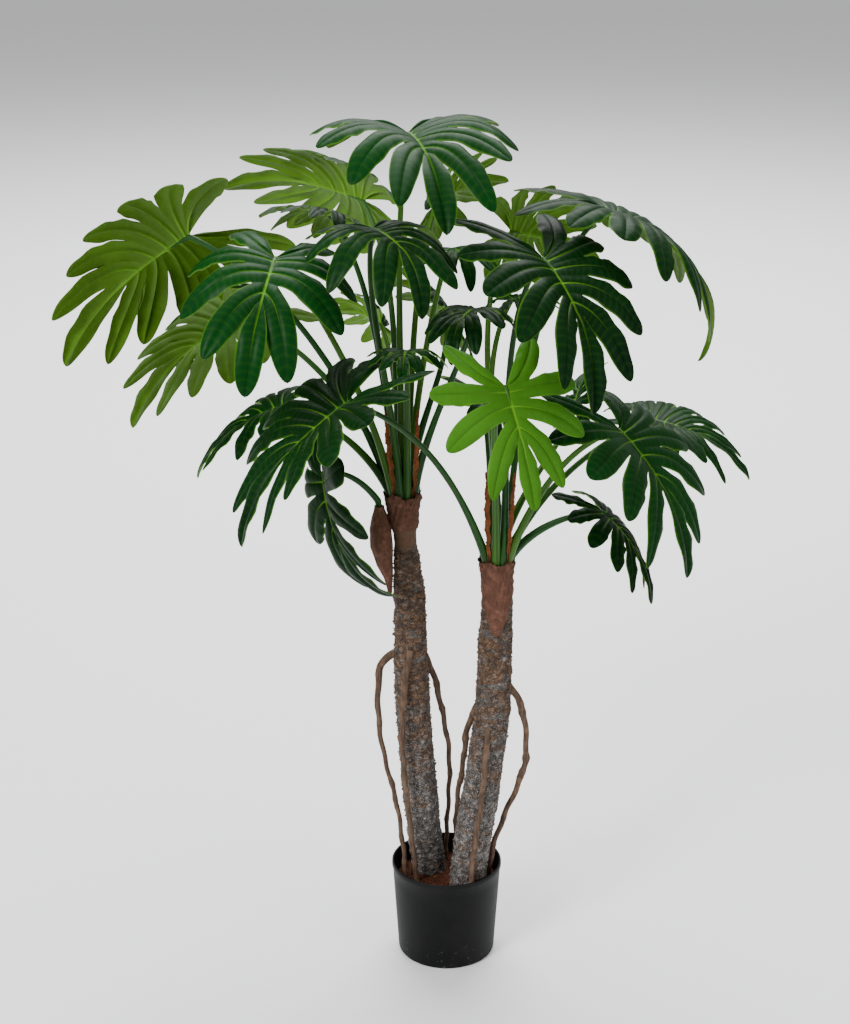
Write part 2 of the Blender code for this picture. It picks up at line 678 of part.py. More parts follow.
# Pot and soil
def build_pot(made):
    """The pot's wall, lip and floor, turned from one profile."""
    inner_rim = POT_RIM_RADIUS - POT_LIP - POT_WALL
    profile = (
        (0.0, POT_FLOOR), (POT_BASE_RADIUS - POT_WALL, POT_FLOOR), (inner_rim, POT_HEIGHT),
        (POT_RIM_RADIUS, POT_HEIGHT), (POT_RIM_RADIUS, POT_HEIGHT - 0.009),
        (POT_RIM_RADIUS - POT_LIP, POT_HEIGHT - 0.0105), (POT_BASE_RADIUS, 0.004),
        (POT_BASE_RADIUS - 0.003, 0.0), (0.0, 0.0),
    )
    mesh = bpy.data.meshes.new("pot")
    edges = [(k, k + 1) for k in range(len(profile) - 1)]
    mesh.from_pydata([(x, 0.0, z) for x, z in profile], edges, [])
    piece = bpy.data.objects.new("pot", mesh)
    bpy.context.scene.collection.objects.link(piece)
    turn = piece.modifiers.new("turn", "SCREW")
    turn.axis = "Z"
    turn.steps = POT_SIDES
    turn.render_steps = POT_SIDES
    turn.use_merge_vertices = True
    turn.merge_threshold = 0.0001
    apply_modifiers(piece)
    piece.data.materials.append(made)
    weld(piece)
    return piece


def pot_inside(height):
    """Inner radius of the pot at a height."""
    low = POT_BASE_RADIUS - POT_WALL
    high = POT_RIM_RADIUS - POT_LIP - POT_WALL
    return low + (high - low) * (height - POT_FLOOR) / (POT_HEIGHT - POT_FLOOR)


def build_soil(made, cutters):
    """The filling, with holes where the trunks and roots stand."""
    dice = random.Random(41)
    sides = 16
    # the polygon of the soil stays inside the polygon of the pot
    fit = math.cos(math.pi / POT_SIDES)
    rings = []
    for height in (POT_FLOOR + FIT_GAP, SOIL_TOP - 0.004):
        radius = (pot_inside(height) - FIT_GAP) * fit
        rings.append(circle(0.0, 0.0, height, radius, sides))
    for share in (0.93, 0.62, 0.3):
        radius = pot_inside(SOIL_TOP) * share
        rings.append([(radius * math.cos(2 * math.pi * k / sides), radius * math.sin(2 * math.pi * k / sides),
                       SOIL_TOP + dice.uniform(-1.0, 1.0) * SOIL_WAVE) for k in range(sides)])
    piece = loft("soil", rings, made)
    boolean(piece, "DIFFERENCE", cutters)
    weld(piece)
    return piece


# The whole plant
def build():
    clear_scene()
    green = material("leaf_green", (0.030, 0.120, 0.035), 0.42)
    bright = material("leaf_bright_green", (0.100, 0.300, 0.040), 0.42)
    bark = material("bark", (0.230, 0.180, 0.140), 0.85)
    root_skin = material("root_skin", (0.180, 0.110, 0.070), 0.80)
    fibre = material("fibre_wrap", (0.200, 0.100, 0.070), 0.90)
    papery = material("papery_sheath", (0.380, 0.140, 0.050), 0.75)
    earth = material("soil_mix", (0.090, 0.045, 0.030), 0.95)
    plastic = material("pot_plastic", (0.014, 0.014, 0.015), 0.50)

    leaves = []
    for row in LEAVES:
        keys = ("name", "crown", "angle", "ring", "base", "tip", "roll", "droop",
                "sides", "lobes", "width", "flop", "seed")
        leaf = dict(zip(keys, row))
        leaf.update(keel=KEELS.get(leaf["name"], KEEL), back=BACK_CURL, depth=SLOT_DEPTH)
        leaf.update(stalk=1.0, start=(0.0, 0.0, 1.0))
        if leaf["crown"] == "pouch":
            leaf.update(slot=np.array(POUCH_SLOT), depth=0.018, stalk=0.75, start=POUCH_LEAN)
        else:
            crown = LEFT_CROWN if leaf["crown"] == "left" else RIGHT_CROWN
            leaf["slot"] = slot_place(crown, leaf["angle"], leaf["ring"])
        leaves.append(leaf)

    build_pot(plastic)
    cutters = [trunk("cut", LEFT_TRUNK, FIT_GAP, LEFT_SMOOTH, 3),
               trunk("cut", RIGHT_TRUNK, FIT_GAP, RIGHT_SMOOTH, 4)]
    for path, radii, _ in ROOTS.values():
        points, sizes = refine(path, radii, ROOT_STEP)
        sizes = [size + 0.00045 for size in sizes]
        points[-1] = (points[-1][0], points[-1][1], points[-1][2] - FIT_GAP)
        cutters.append(tube("cut", points, sizes, 1))
    build_soil(earth, cutters)

    left = trunk("trunk_left", LEFT_TRUNK, 0.0, LEFT_SMOOTH, 3, bark)
    right = trunk("trunk_right", RIGHT_TRUNK, 0.0, RIGHT_SMOOTH, 4, bark)
    bore_slots(left, LEFT_CROWN, [leaf for leaf in leaves if leaf["crown"] == "left"])
    bore_slots(right, RIGHT_CROWN, [leaf for leaf in leaves if leaf["crown"] == "right"])
    weld(left)
    weld(right)
    for name, (path, radii, side) in ROOTS.items():
        if side == "left":
            cutter = trunk("cut", LEFT_TRUNK, 2 * FIT_GAP, LEFT_SMOOTH, 3)
        else:
            cutter = trunk("cut", RIGHT_TRUNK, 2 * FIT_GAP, RIGHT_SMOOTH, 4)
        root(name, path, radii, [cutter], root_skin)

    sleeve("collar_left", LEFT_TRUNK, lambda turn: 0.702, 0.752, 0.0010, 0.005, 5, fibre)
    sleeve("wrap_right", RIGHT_TRUNK, wrap_low, 0.657, 0.0010, 0.005, 6, fibre)
    rings = []
    for height, reach in ((0.560, 0.0), (0.690, 0.0), (0.696, 0.0028), (0.760, 0.0052)):
        x, y, radius = trunk_at(LEFT_TRUNK, min(height, LEFT_CROWN[2]))
        radius += reach + 0.0018
        rings.append(circle(x, y, height, radius, 14))
    side_pouch = pouch(fibre, [loft("cut", rings)])
    hanging = [leaf for leaf in leaves if leaf["crown"] == "pouch"]
    bore_pouch(side_pouch, hanging[0])
    for name, path, facing in SHEATHS:
        strip(name, path, SHEATH_WIDTHS, facing, papery)

    for leaf in leaves:
        build_leaf(leaf, bright if leaf["name"] == "leaf_bright_front" else green)


def wrap_low(turn):
    """Lower rim of the right wrap: a long point at the front."""
    front = max(math.cos(turn - math.radians(268)), 0.0) ** 3
    return 0.606 - 0.062 * front


def bore_pouch(piece, leaf):
    """The hole in the pouch where the hanging leaf's stalk stands."""
    axis = np.array(leaf["start"])
    foot = leaf["slot"] - axis * (leaf["depth"] + FIT_GAP)
    top = leaf["slot"] + axis * 0.012
    radius = (STALK_FOOT_RADIUS * leaf["stalk"] + 2 * FIT_GAP) / math.cos(math.pi / 6)
    boolean(piece, "DIFFERENCE", [tube("cut", (foot, top), (radius, radius), 2)])
    weld(piece)


build()
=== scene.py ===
import math
import random

import bmesh
import bpy
import numpy as np
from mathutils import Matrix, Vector


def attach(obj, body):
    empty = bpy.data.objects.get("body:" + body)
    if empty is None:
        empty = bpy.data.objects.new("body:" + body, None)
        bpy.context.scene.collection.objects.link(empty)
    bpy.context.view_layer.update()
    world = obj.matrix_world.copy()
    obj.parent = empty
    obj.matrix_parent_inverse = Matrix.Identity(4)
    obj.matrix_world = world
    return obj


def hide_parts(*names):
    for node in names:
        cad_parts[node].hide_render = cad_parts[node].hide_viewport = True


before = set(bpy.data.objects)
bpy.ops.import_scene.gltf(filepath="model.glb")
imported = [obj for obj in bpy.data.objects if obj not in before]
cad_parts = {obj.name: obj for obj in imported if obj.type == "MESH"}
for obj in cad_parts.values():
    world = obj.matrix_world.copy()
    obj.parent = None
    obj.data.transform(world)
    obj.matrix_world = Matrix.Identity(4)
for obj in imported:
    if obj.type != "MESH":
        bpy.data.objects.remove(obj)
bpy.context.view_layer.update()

bl_info = {
    "name": "Potted Selloum",
    "version": (1, 0, 0),
    "blender": (4, 5, 0),
    "location": "View3D > Sidebar > Selloum",
    "description": "Builds a two-trunk philodendron selloum with lobed leaves, bark, wraps and a nursery pot",
    "category": "Add Mesh",
}

# Stage: camera, half the floor's side, lights (name, place, target, size, power), sky
CAMERA_PLACE = (0.0, -2.6, 1.615)
FLOOR_REACH = 40.0
LIGHTS = (
    ("key_light", (-1.8, -2.2, 2.7), (0.0, 0.0, 0.8), 1.2, 120.0),
    ("fill_light", (2.6, -1.9, 1.7), (0.0, 0.0, 0.7), 2.4, 30.0),
    ("top_light", (0.2, 0.5, 3.4), (0.0, 0.2, 0.6), 2.0, 40.0),
    ("floor_light", (0.0, 4.2, 4.6), (0.0, 4.6, 0.0), 6.0, 620.0),
)
SKY = (0.96, 0.96, 0.96, 1.0)
SKY_STRENGTH = 0.60

# Trunks: middle x, y, z, radius
TRUNKS = {
    "trunk_left": (
        (-0.026, 0.026, 0.110, 0.0250), (-0.029, 0.023, 0.135, 0.0255), (-0.034, 0.018, 0.184, 0.0262),
        (-0.041, 0.012, 0.253, 0.0268), (-0.047, 0.006, 0.338, 0.0262), (-0.053, 0.002, 0.422, 0.0262),
        (-0.055, 0.000, 0.504, 0.0252), (-0.056, 0.000, 0.584, 0.0238), (-0.060, 0.000, 0.640, 0.0202),
        (-0.062, 0.000, 0.672, 0.0172), (-0.063, 0.000, 0.690, 0.0176), (-0.065, 0.000, 0.708, 0.0215),
        (-0.066, 0.000, 0.738, 0.0225),
    ),
    "trunk_right": (
        (0.030, -0.026, 0.110, 0.0262), (0.032, -0.026, 0.126, 0.0268), (0.042, -0.024, 0.213, 0.0280),
        (0.054, -0.021, 0.298, 0.0280), (0.065, -0.020, 0.382, 0.0272), (0.069, -0.020, 0.432, 0.0268),
        (0.071, -0.020, 0.513, 0.0262), (0.073, -0.020, 0.570, 0.0235), (0.073, -0.020, 0.610, 0.0228),
        (0.072, -0.020, 0.643, 0.0225),
    ),
}

# Where the stalks stand: crown tops, and the rings of stalks round them
CROWNS = {"left": (-0.066, 0.000, 0.740), "right": (0.072, -0.020, 0.645), "pouch": (-0.1000, -0.0120, 0.7320)}
OUTER_RING = 0.0176
INNER_RING = 0.0080

# Pouch: lean of the stalk in it; middle x, y, height, radius
POUCH_LEAN = (-0.148, 0.0, 0.989)
POUCH_ROWS = (
    (-0.0850, -0.012, 0.600, 0.0025), (-0.0870, -0.012, 0.622, 0.0060), (-0.0930, -0.012, 0.646, 0.0120),
    (-0.0970, -0.012, 0.674, 0.0165), (-0.0980, -0.012, 0.700, 0.0160), (-0.0990, -0.012, 0.719, 0.0115),
    (-0.1000, -0.012, 0.732, 0.0072),
)

# Leaf outline, in shares of the blade's length:
# (vein leaves the midrib at, tip sideways, tip lengthways, half width)
SIDE_LOBES = (
    (0.000, 0.40, -0.44, 0.080),
    (0.020, 0.60, -0.20, 0.084),
    (0.065, 0.67, 0.09, 0.087),
    (0.140, 0.63, 0.37, 0.088),
    (0.230, 0.50, 0.63, 0.085),
    (0.340, 0.31, 0.85, 0.077),
)
TERMINAL_LOBE = (0.440, 0.0, 1.0, 0.088)
LOBE_NECK = 0.74
BASE_NOTCH = (0.012, -0.016)

# Blade: half widths of the veins and the midrib, and the web's share of the rib's thickness
VEIN_HALF, MIDRIB_HALF, WEB_SHARE = 0.0020, 0.0030, 0.34

# Stalk radii: by distance from the crown, as a share by how far along, and under the midrib
STALK_RADII = ((0.0, 0.03, 0.12), (0.0070, 0.0062, 0.0047))
STALK_SHARES = ((0.0, 0.4, 0.93, 1.0), (1.0, 1.0, 0.76, 0.86))
STALK_TAIL = ((0.04, 0.0030), (0.08, 0.0022), (0.13, 0.0014), (0.18, 0.0006))

# Degrees: the fold of a blade along its midrib, and the curl of its lobes behind its base
KEEL = 14.0
KEELS = {"leaf_top": 26.0, "leaf_bright_front": 6.0, "leaf_mid_left": 18.0, "leaf_right_front": 20.0,
         "leaf_small_low_right": 2.0}
BACK_CURL = 15.0

# Aerial roots: points along the middle, radii from top to foot
ROOTS = {
    "root_left_side": (
        ((-0.078, -0.001, 0.500), (-0.093, -0.002, 0.504), (-0.104, -0.004, 0.480), (-0.105, -0.006, 0.391),
         (-0.095, -0.007, 0.325), (-0.077, -0.009, 0.257), (-0.066, -0.011, 0.171), (-0.063, -0.012, 0.123),
         (-0.062, -0.012, 0.102)),
        (0.0068, 0.0046, 0.0038, 0.0038, 0.0037)),
    "root_left_front": (
        ((-0.055, -0.024, 0.514), (-0.063, -0.034, 0.470), (-0.067, -0.036, 0.438), (-0.068, -0.036, 0.355),
         (-0.060, -0.033, 0.269), (-0.051, -0.026, 0.180), (-0.046, -0.020, 0.132), (-0.045, -0.019, 0.102)),
        (0.0054, 0.0043, 0.0039, 0.0037)),
    "root_left_back": (
        ((-0.034, 0.004, 0.496), (-0.022, 0.012, 0.472), (-0.011, 0.020, 0.413), (0.005, 0.030, 0.324),
         (0.003, 0.043, 0.233), (-0.001, 0.054, 0.167), (-0.002, 0.056, 0.100)),
        (0.0054, 0.0042, 0.0038, 0.0037)),
    "root_right_side": (
        ((0.052, -0.018, 0.434), (0.038, -0.008, 0.406), (0.027, 0.002, 0.364), (0.027, 0.014, 0.316),
         (0.017, 0.024, 0.258), (0.014, 0.034, 0.183), (0.014, 0.038, 0.143), (0.014, 0.038, 0.100)),
        (0.0058, 0.0045, 0.0042, 0.0039)),
    "root_right_front": (
        ((0.062, -0.040, 0.408), (0.059, -0.053, 0.385), (0.056, -0.056, 0.314), (0.046, -0.0595, 0.232),
         (0.037, -0.0600, 0.160), (0.036, -0.0600, 0.100)),
        (0.0046, 0.0041, 0.0040, 0.0038)),
    "root_right_outer": (
        ((0.092, -0.020, 0.456), (0.109, -0.018, 0.434), (0.118, -0.014, 0.396), (0.122, -0.010, 0.328),
         (0.109, -0.006, 0.283), (0.085, -0.004, 0.221), (0.069, -0.004, 0.168), (0.066, -0.004, 0.129),
         (0.066, -0.004, 0.100)),
        (0.0058, 0.0047, 0.0047, 0.0044, 0.0042)),
}

# Papery strips: points along the middle, direction the flat side faces
SHEATH_WIDTHS = (0.0036, 0.0042, 0.0060, 0.0070, 0.0050, 0.0022)
SHEATHS = (
    ("sheath_left_front", ((-0.0766, -0.0190, 0.7415), (-0.0772, -0.0200, 0.7600), (-0.0790, -0.0240, 0.7800),
                           (-0.0830, -0.0290, 0.8100), (-0.0865, -0.0330, 0.8500), (-0.0890, -0.0360, 0.8850)),
     (-0.4, -1.0, 0.0)),
    ("sheath_left_side", ((-0.0507, -0.0153, 0.7415), (-0.0502, -0.0160, 0.7600), (-0.0480, -0.0190, 0.7800),
                          (-0.0460, -0.0230, 0.8100), (-0.0450, -0.0260, 0.8500), (-0.0440, -0.0280, 0.8850)),
     (0.6, -1.0, 0.0)),
    ("sheath_right_front", ((0.0605, -0.0395, 0.6465), (0.0600, -0.0405, 0.6640), (0.0585, -0.0440, 0.6850),
                            (0.0570, -0.0470, 0.7200), (0.0560, -0.0490, 0.7650), (0.0550, -0.0500, 0.8000)),
     (-0.3, -1.0, 0.0)),
    ("sheath_right_side", ((0.0858, -0.0377, 0.6465), (0.0862, -0.0387, 0.6640), (0.0880, -0.0425, 0.6850),
                           (0.0900, -0.0470, 0.7200), (0.0920, -0.0510, 0.7650), (0.0940, -0.0540, 0.8000)),
     (0.8, -1.0, 0.0)),
)

# Wraps: trunk, lower rim, length of the point at the front, upper rim, flare, seed
WRAPS = {
    "collar_left": ("trunk_left", 0.700, 0.0, 0.752, 0.010, 5),
    "wrap_right": ("trunk_right", 0.606, 0.062, 0.657, 0.008, 6),
}
POINT_FACES = math.radians(268)

# Pot: how far the band at its rim stands out
POT_BAND = 0.0014

# Fine detail: steps along a path, corners round a bar, sheet thickness, and where bark starts and ends
TRUNK_STEP, ROOT_STEP, STALK_STEP, STRIP_STEP = 0.0019, 0.0030, 0.009, 0.0022
TRUNK_SIDES, ROOT_SIDES, STALK_SIDES = 92, 16, 12
WRAP_SHEET, STRIP_SHEET = 0.0010, 0.0007
BARK_FOOT = 0.125
BARK_TOPS = {"trunk_left": 0.675, "trunk_right": 0.600}

# Scattered pieces: the random seed where it is fixed, sizes and shape
FLAKES = {"seed": 9, "smallest": 0.0008, "largest": 0.0030, "stretch": 0.45, "upright": 1.0}
THREADS = {"density": 26000.0, "smallest": 0.00018, "largest": 0.00034, "stretch": 22.0, "upright": 1.0}
CRUMBS = {"seed": 3, "smallest": 0.0006, "largest": 0.0021, "stretch": 0.8}

# Leaves:
# name, crown, slot angle, slot ring, blade base, blade tip, roll, droop,
# side droop left and right, lobes a side, width, lobe flop, seed
LEAVES = (
    ("leaf_far_left", "left", 156, 1, (-0.365, 0.020, 1.125), (-0.550, -0.025, 0.950),
     60, 45, (60, 50), 6, 0.80, 0.10, 1),
    ("leaf_low_far_left", "left", 124, 1, (-0.305, 0.095, 0.992), (-0.475, 0.050, 0.840),
     50, 40, (60, 40), 6, 0.75, 0.10, 2),
    ("leaf_left_front", "left", 224, 1, (-0.230, -0.135, 1.125), (-0.262, -0.300, 0.985),
     -10, 45, (60, 65), 4, 0.82, 0.15, 3),
    ("leaf_top_back", "left", 113, 0, (-0.125, 0.168, 1.150), (-0.338, 0.248, 1.170),
     50, 30, (60, 40), 6, 0.75, 0.12, 4),
    ("leaf_top", "left", 257, 0, (-0.056, -0.030, 1.275), (0.000, -0.240, 1.182),
     0, 50, (50, 55), 5, 0.88, 0.15, 5),
    ("leaf_upper_front", "left", 258, 1, (-0.100, -0.140, 1.165), (-0.020, -0.285, 1.100),
     0, 45, (50, 60), 4, 0.90, 0.20, 6),
    ("leaf_upper_left", "left", 185, 0, (-0.160, 0.022, 1.150), (-0.262, -0.043, 1.172),
     10, 35, (60, 60), 5, 0.85, 0.20, 7),
    ("leaf_mid_left", "right", 214, 1, (-0.133, -0.190, 0.942), (-0.290, -0.265, 0.770),
     0, 35, (20, 35), 6, 0.78, 0.10, 8),
    ("leaf_behind_mid_left", "left", 190, 1, (-0.235, 0.020, 0.880), (-0.375, 0.000, 0.780),
     0, 40, (40, 40), 5, 0.85, 0.12, 9),
    ("leaf_hanging", "pouch", 0, 0, (-0.178, -0.068, 0.802), (-0.084, -0.098, 0.610),
     128, 50, (30, 30), 4, 0.50, 0.10, 10),
    ("leaf_small_centre", "left", 292, 1, (-0.058, -0.100, 0.990), (-0.062, -0.195, 0.975),
     0, 45, (50, 50), 4, 0.90, 0.15, 11),
    ("leaf_centre_back", "left", 64, 1, (0.000, 0.155, 0.975), (-0.105, 0.260, 1.025),
     50, 30, (40, 30), 5, 0.90, 0.15, 12),
    ("leaf_low_back", "left", 96, 1, (-0.100, 0.200, 0.955), (-0.185, 0.280, 0.965),
     60, 30, (40, 30), 5, 0.85, 0.15, 13),
    ("leaf_top_behind", "left", 41, 0, (-0.022, 0.118, 1.150), (0.082, 0.215, 1.180),
     -60, 30, (40, 30), 5, 0.82, 0.15, 14),
    ("leaf_upper_centre", "left", 329, 0, (0.000, 0.025, 1.105), (0.035, -0.085, 1.090),
     0, 50, (60, 60), 4, 0.85, 0.20, 15),
    ("leaf_bright_front", "right", 262, 1, (0.075, -0.220, 0.972), (0.114, -0.300, 0.828),
     0, 20, (12, 12), 4, 1.00, 0.08, 16),
    ("leaf_inner_right", "left", 338, 1, (0.036, -0.084, 1.045), (-0.002, -0.202, 1.015),
     0, 50, (55, 60), 4, 0.72, 0.20, 17),
    ("leaf_right_front", "right", 294, 1, (0.125, -0.135, 1.125), (0.195, -0.255, 0.945),
     -10, 50, (36, 50), 5, 0.85, 0.08, 18),
    ("leaf_far_right", "right", 20, 0, (0.215, 0.000, 1.165), (0.398, -0.008, 0.960),
     -5, 65, (50, 50), 6, 0.75, 0.12, 19),
    ("leaf_right_back", "right", 95, 0, (0.090, 0.140, 1.110), (0.225, 0.185, 1.065),
     -70, 30, (40, 30), 5, 0.85, 0.15, 20),
    ("leaf_low_right", "right", 326, 1, (0.235, -0.120, 0.885), (0.335, -0.205, 0.700),
     -10, 40, (25, 40), 5, 0.88, 0.12, 21),
    ("leaf_low_right_back", "right", 38, 1, (0.292, 0.062, 0.848), (0.447, 0.012, 0.778),
     0, 40, (25, 40), 6, 0.85, 0.12, 22),
    ("leaf_small_low_right", "right", 4, 1, (0.222, -0.042, 0.740), (0.302, -0.100, 0.622),
     -15, 35, (40, 50), 5, 0.66, 0.12, 23),
    ("leaf_small_back", "right", 112, 1, (0.055, 0.120, 0.845), (0.000, 0.220, 0.860),
     40, 40, (30, 30), 4, 0.95, 0.15, 24),
    ("leaf_small_right_back", "right", 75, 1, (0.190, 0.160, 0.835), (0.230, 0.240, 0.890),
     -40, 30, (30, 30), 4, 0.95, 0.15, 25),
    ("leaf_edge_on", "right", 285, 0, (0.088, 0.040, 1.030), (0.165, 0.070, 1.020),
     0, 30, (50, 50), 4, 0.90, 0.15, 26),
)


# Settings

def metres(name, description, default):
    """A length setting."""
    return bpy.props.FloatProperty(name=name, description=description, default=default,
                                   min=0.0, max=0.5, unit="LENGTH")


def tint(name, description, default):
    """A colour setting."""
    return bpy.props.FloatVectorProperty(name=name, description=description, default=default,
                                         min=0.0, max=1.0, subtype="COLOR")


def amount(name, description, default):
    """A number of scattered pieces on a square metre."""
    return bpy.props.FloatProperty(name=name, description=description, default=default, min=0.0)


class LeafSettings(bpy.types.PropertyGroup):
    """Sizes and colours of the leaves."""
    thickness: metres("Rib Thickness", "Thickness of a blade at its midrib; its web is a third of it", 0.0026)
    crease: metres("Vein Groove", "Depth of the grooves over the veins", 0.0011)
    puff: bpy.props.FloatProperty(
        name="Lobe Puff", description="How far the halves of a lobe bulge, as a share of its half width",
        default=0.11, min=0.0, max=0.4, subtype="FACTOR")
    wave: metres("Edge Wave", "Height of the waves along a lobe's edge", 0.0020)
    deep: tint("Deep Green", "Darker green of the upper faces", (0.0007, 0.0115, 0.0020))
    lively: tint("Lively Green", "Lighter green of the upper faces", (0.0020, 0.0340, 0.0040))
    bright: tint("Young Leaf Green", "Green of the young leaf at the front", (0.0480, 0.1700, 0.0100))
    under: tint("Underside Green", "Yellowish green of the undersides", (0.0900, 0.2150, 0.0070))
    # Also the colour of the painted highlight along the upper faces' rims.
    vein: tint("Vein Green", "Pale green of the veins", (0.1300, 0.3200, 0.0150))
    stalk: tint("Stalk Green", "Green of the leaf stalks", (0.0080, 0.0640, 0.0050))


class TrunkSettings(bpy.types.PropertyGroup):
    """Sizes and colours of the trunks, roots and wraps."""
    ridge: metres("Plate Height", "Height of the bark's plates over their cracks", 0.0032)
    plate: metres("Plate Width", "Width of a bark plate", 0.0135)
    lump: metres("Lumps", "Height of the broad lumps of a trunk", 0.0055)
    band: metres("Band Height", "Height of the uneven level ridges round a trunk", 0.0075)
    flakes: amount("Flakes", "Loose bark flakes on a square metre", 14000.0)
    brown: tint("Bark Brown", "Warm brown of the bark", (0.135, 0.070, 0.034))
    grey: tint("Bark Grey", "Cool grey between the brown plates", (0.118, 0.108, 0.100))
    root: tint("Root Brown", "Brown of the aerial roots", (0.110, 0.066, 0.042))
    wrap: tint("Wrap Brown", "Reddish brown of the fibrous wraps", (0.120, 0.052, 0.033))
    papery: tint("Papery Orange", "Orange brown of the papery strips", (0.230, 0.072, 0.022))


class PotSettings(bpy.types.PropertyGroup):
    """Sizes and colours of the pot and its filling."""
    height: metres("Height", "Height of the pot", 0.152)
    rim: metres("Rim Radius", "Outer radius at the rim", 0.085)
    base: metres("Base Radius", "Outer radius just over the foot", 0.075)
    wall: metres("Wall", "Thickness of the wall", 0.0022)
    soil_top: metres("Filling Height", "Height of the filling's surface", 0.1215)
    crumbs: amount("Crumbs", "Crumbs on a square metre of filling", 90000.0)
    plastic: tint("Pot Black", "Colour of the pot", (0.0036, 0.0038, 0.0041))
    soil: tint("Filling Brown", "Colour of the filling", (0.085, 0.026, 0.012))


class StageSettings(bpy.types.PropertyGroup):
    """Camera and floor."""
    lens: bpy.props.FloatProperty(
        name="Lens", description="Focal length of the camera", default=66.16, min=10.0, subtype="DISTANCE_CAMERA")
    pitch: bpy.props.FloatProperty(
        name="Pitch", description="How far the camera looks down", default=math.radians(18.94), subtype="ANGLE")
    turn: bpy.props.FloatProperty(
        name="Turn", description="How far the camera turns to the left", default=math.radians(0.74),
        subtype="ANGLE")
    floor: tint("Floor", "Colour of the floor", (0.86, 0.865, 0.87))


# Node trees

class Value:
    """A node's output that Python expressions can work with."""

    def __init__(self, graph, socket):
        self.graph = graph
        self.socket = socket

    def math(self, operation, *others, clamp=False):
        inputs = dict(enumerate((self,) + others))
        return self.graph.node("ShaderNodeMath", {"operation": operation, "use_clamp": clamp}, inputs)

    def __add__(self, other):
        return self.math("ADD", other)

    def __sub__(self, other):
        return self.math("SUBTRACT", other)

    def __rsub__(self, other):
        return self.graph.node("ShaderNodeMath", {"operation": "SUBTRACT"}, {0: other, 1: self})

    def __mul__(self, other):
        return self.math("MULTIPLY", other)

    def __pow__(self, power):
        return self.math("POWER", power)

    __radd__ = __add__
    __rmul__ = __mul__

    def clamp(self):
        return self.math("ADD", 0.0, clamp=True)

    def over(self, low, high):
        """From 0 at low to 1 at high, smoothly."""
        inputs = {"Value": self, "From Min": low, "From Max": high}
        return self.graph.node("ShaderNodeMapRange", {"interpolation_type": "SMOOTHSTEP"}, inputs)


class Graph:
    """A node tree that is built by calls."""

    def __init__(self, tree):
        self.tree = tree

    def node(self, kind, settings=None, inputs=None, output=0):
        """One node: its settings first, then values or links for its sockets."""
        made = self.tree.nodes.new(kind)
        for name, value in (settings or {}).items():
            setattr(made, name, value)
        for key, value in (inputs or {}).items():
            socket = made.inputs[key]
            if isinstance(value, Value):
                self.tree.links.new(value.socket, socket)
            else:
                socket.default_value = value
        return Value(self, made.outputs[output])

    def geometry(self, kind, inputs=None, output=0):
        """One geometry node."""
        return self.node("GeometryNode" + kind, None, inputs, output)

    def store(self, geometry, name, value):
        """Keep a value as a named attribute of the points."""
        return self.geometry("StoreNamedAttribute", {"Geometry": geometry, "Name": name, "Value": value})

    def scaled(self, vector, x, y, z):
        """A vector whose parts are scaled."""
        return self.node("ShaderNodeVectorMath", {"operation": "MULTIPLY"}, {0: vector, 1: (x, y, z)})

    def noise(self, vector, scale, detail=2.0, roughness=0.5):
        inputs = {"Vector": vector, "Scale": scale, "Detail": detail, "Roughness": roughness}
        return self.node("ShaderNodeTexNoise", None, inputs)

    def cracks(self, vector, scale):
        """Distance to the nearest edge between cells."""
        inputs = {"Vector": vector, "Scale": scale}
        return self.node("ShaderNodeTexVoronoi", {"feature": "DISTANCE_TO_EDGE"}, inputs)


class Finish(Graph):
    """A Principled material built from expressions; the constants go on the shader's own sockets."""

    def __init__(self, name, constants):
        self.material = bpy.data.materials.new(name)
        self.material.use_nodes = True
        super().__init__(self.material.node_tree)
        self.shader = self.tree.nodes["Principled BSDF"]
        for key, value in constants.items():
            self.shader.inputs[key].default_value = value
        self.place = self.node("ShaderNodeTexCoord", output="Object")

    def set(self, key, value):
        self.tree.links.new(value.socket, self.shader.inputs[key])

    def attribute(self, name):
        return self.node("ShaderNodeAttribute", {"attribute_name": name}, output="Fac")

    def ripple(self):
        """Narrow side veins that run forward from a lobe's vein to its edge."""
        wave = (self.attribute("along") * 620.0 + self.attribute("across") * -3.4).math("SINE")
        return (wave * 0.5 + 0.5) ** 3.0

    def height(self):
        return self.node("ShaderNodeSeparateXYZ", None, {0: self.place}, output="Z")

    def mix(self, factor, first, second, blend="MIX"):
        """Blend two colours."""
        first, second = (c if isinstance(c, Value) else (*c, 1.0) for c in (first, second))
        settings = {"data_type": "RGBA", "blend_type": blend, "clamp_factor": True}
        return self.node("ShaderNodeMix", settings, {0: factor, 6: first, 7: second}, output=2)

    def done(self, colour, roughness, height, strength, distance):
        """The material, with its colour, roughness and bump."""
        self.set("Base Color", colour)
        self.set("Roughness", roughness)
        inputs = {"Strength": strength, "Distance": distance, "Height": height}
        self.set("Normal", self.node("ShaderNodeBump", None, inputs))
        return self.material


def geometry_tree(name, inputs):
    """An empty geometry tree with named inputs, its graph and its input sockets."""
    tree = bpy.data.node_groups.new(name, "GeometryNodeTree")
    tree.interface.new_socket(name="Geometry", in_out="OUTPUT", socket_type="NodeSocketGeometry")
    tree.interface.new_socket(name="Geometry", in_out="INPUT", socket_type="NodeSocketGeometry")
    for label, kind, default in inputs:
        item = tree.interface.new_socket(name=label, in_out="INPUT", socket_type="NodeSocket" + kind)
        if default is not None:
            item.default_value = default
    graph = Graph(tree)
    given = tree.nodes.new("NodeGroupInput")
    sockets = {socket.name: Value(graph, socket) for socket in given.outputs if socket.name}
    return tree, graph, sockets


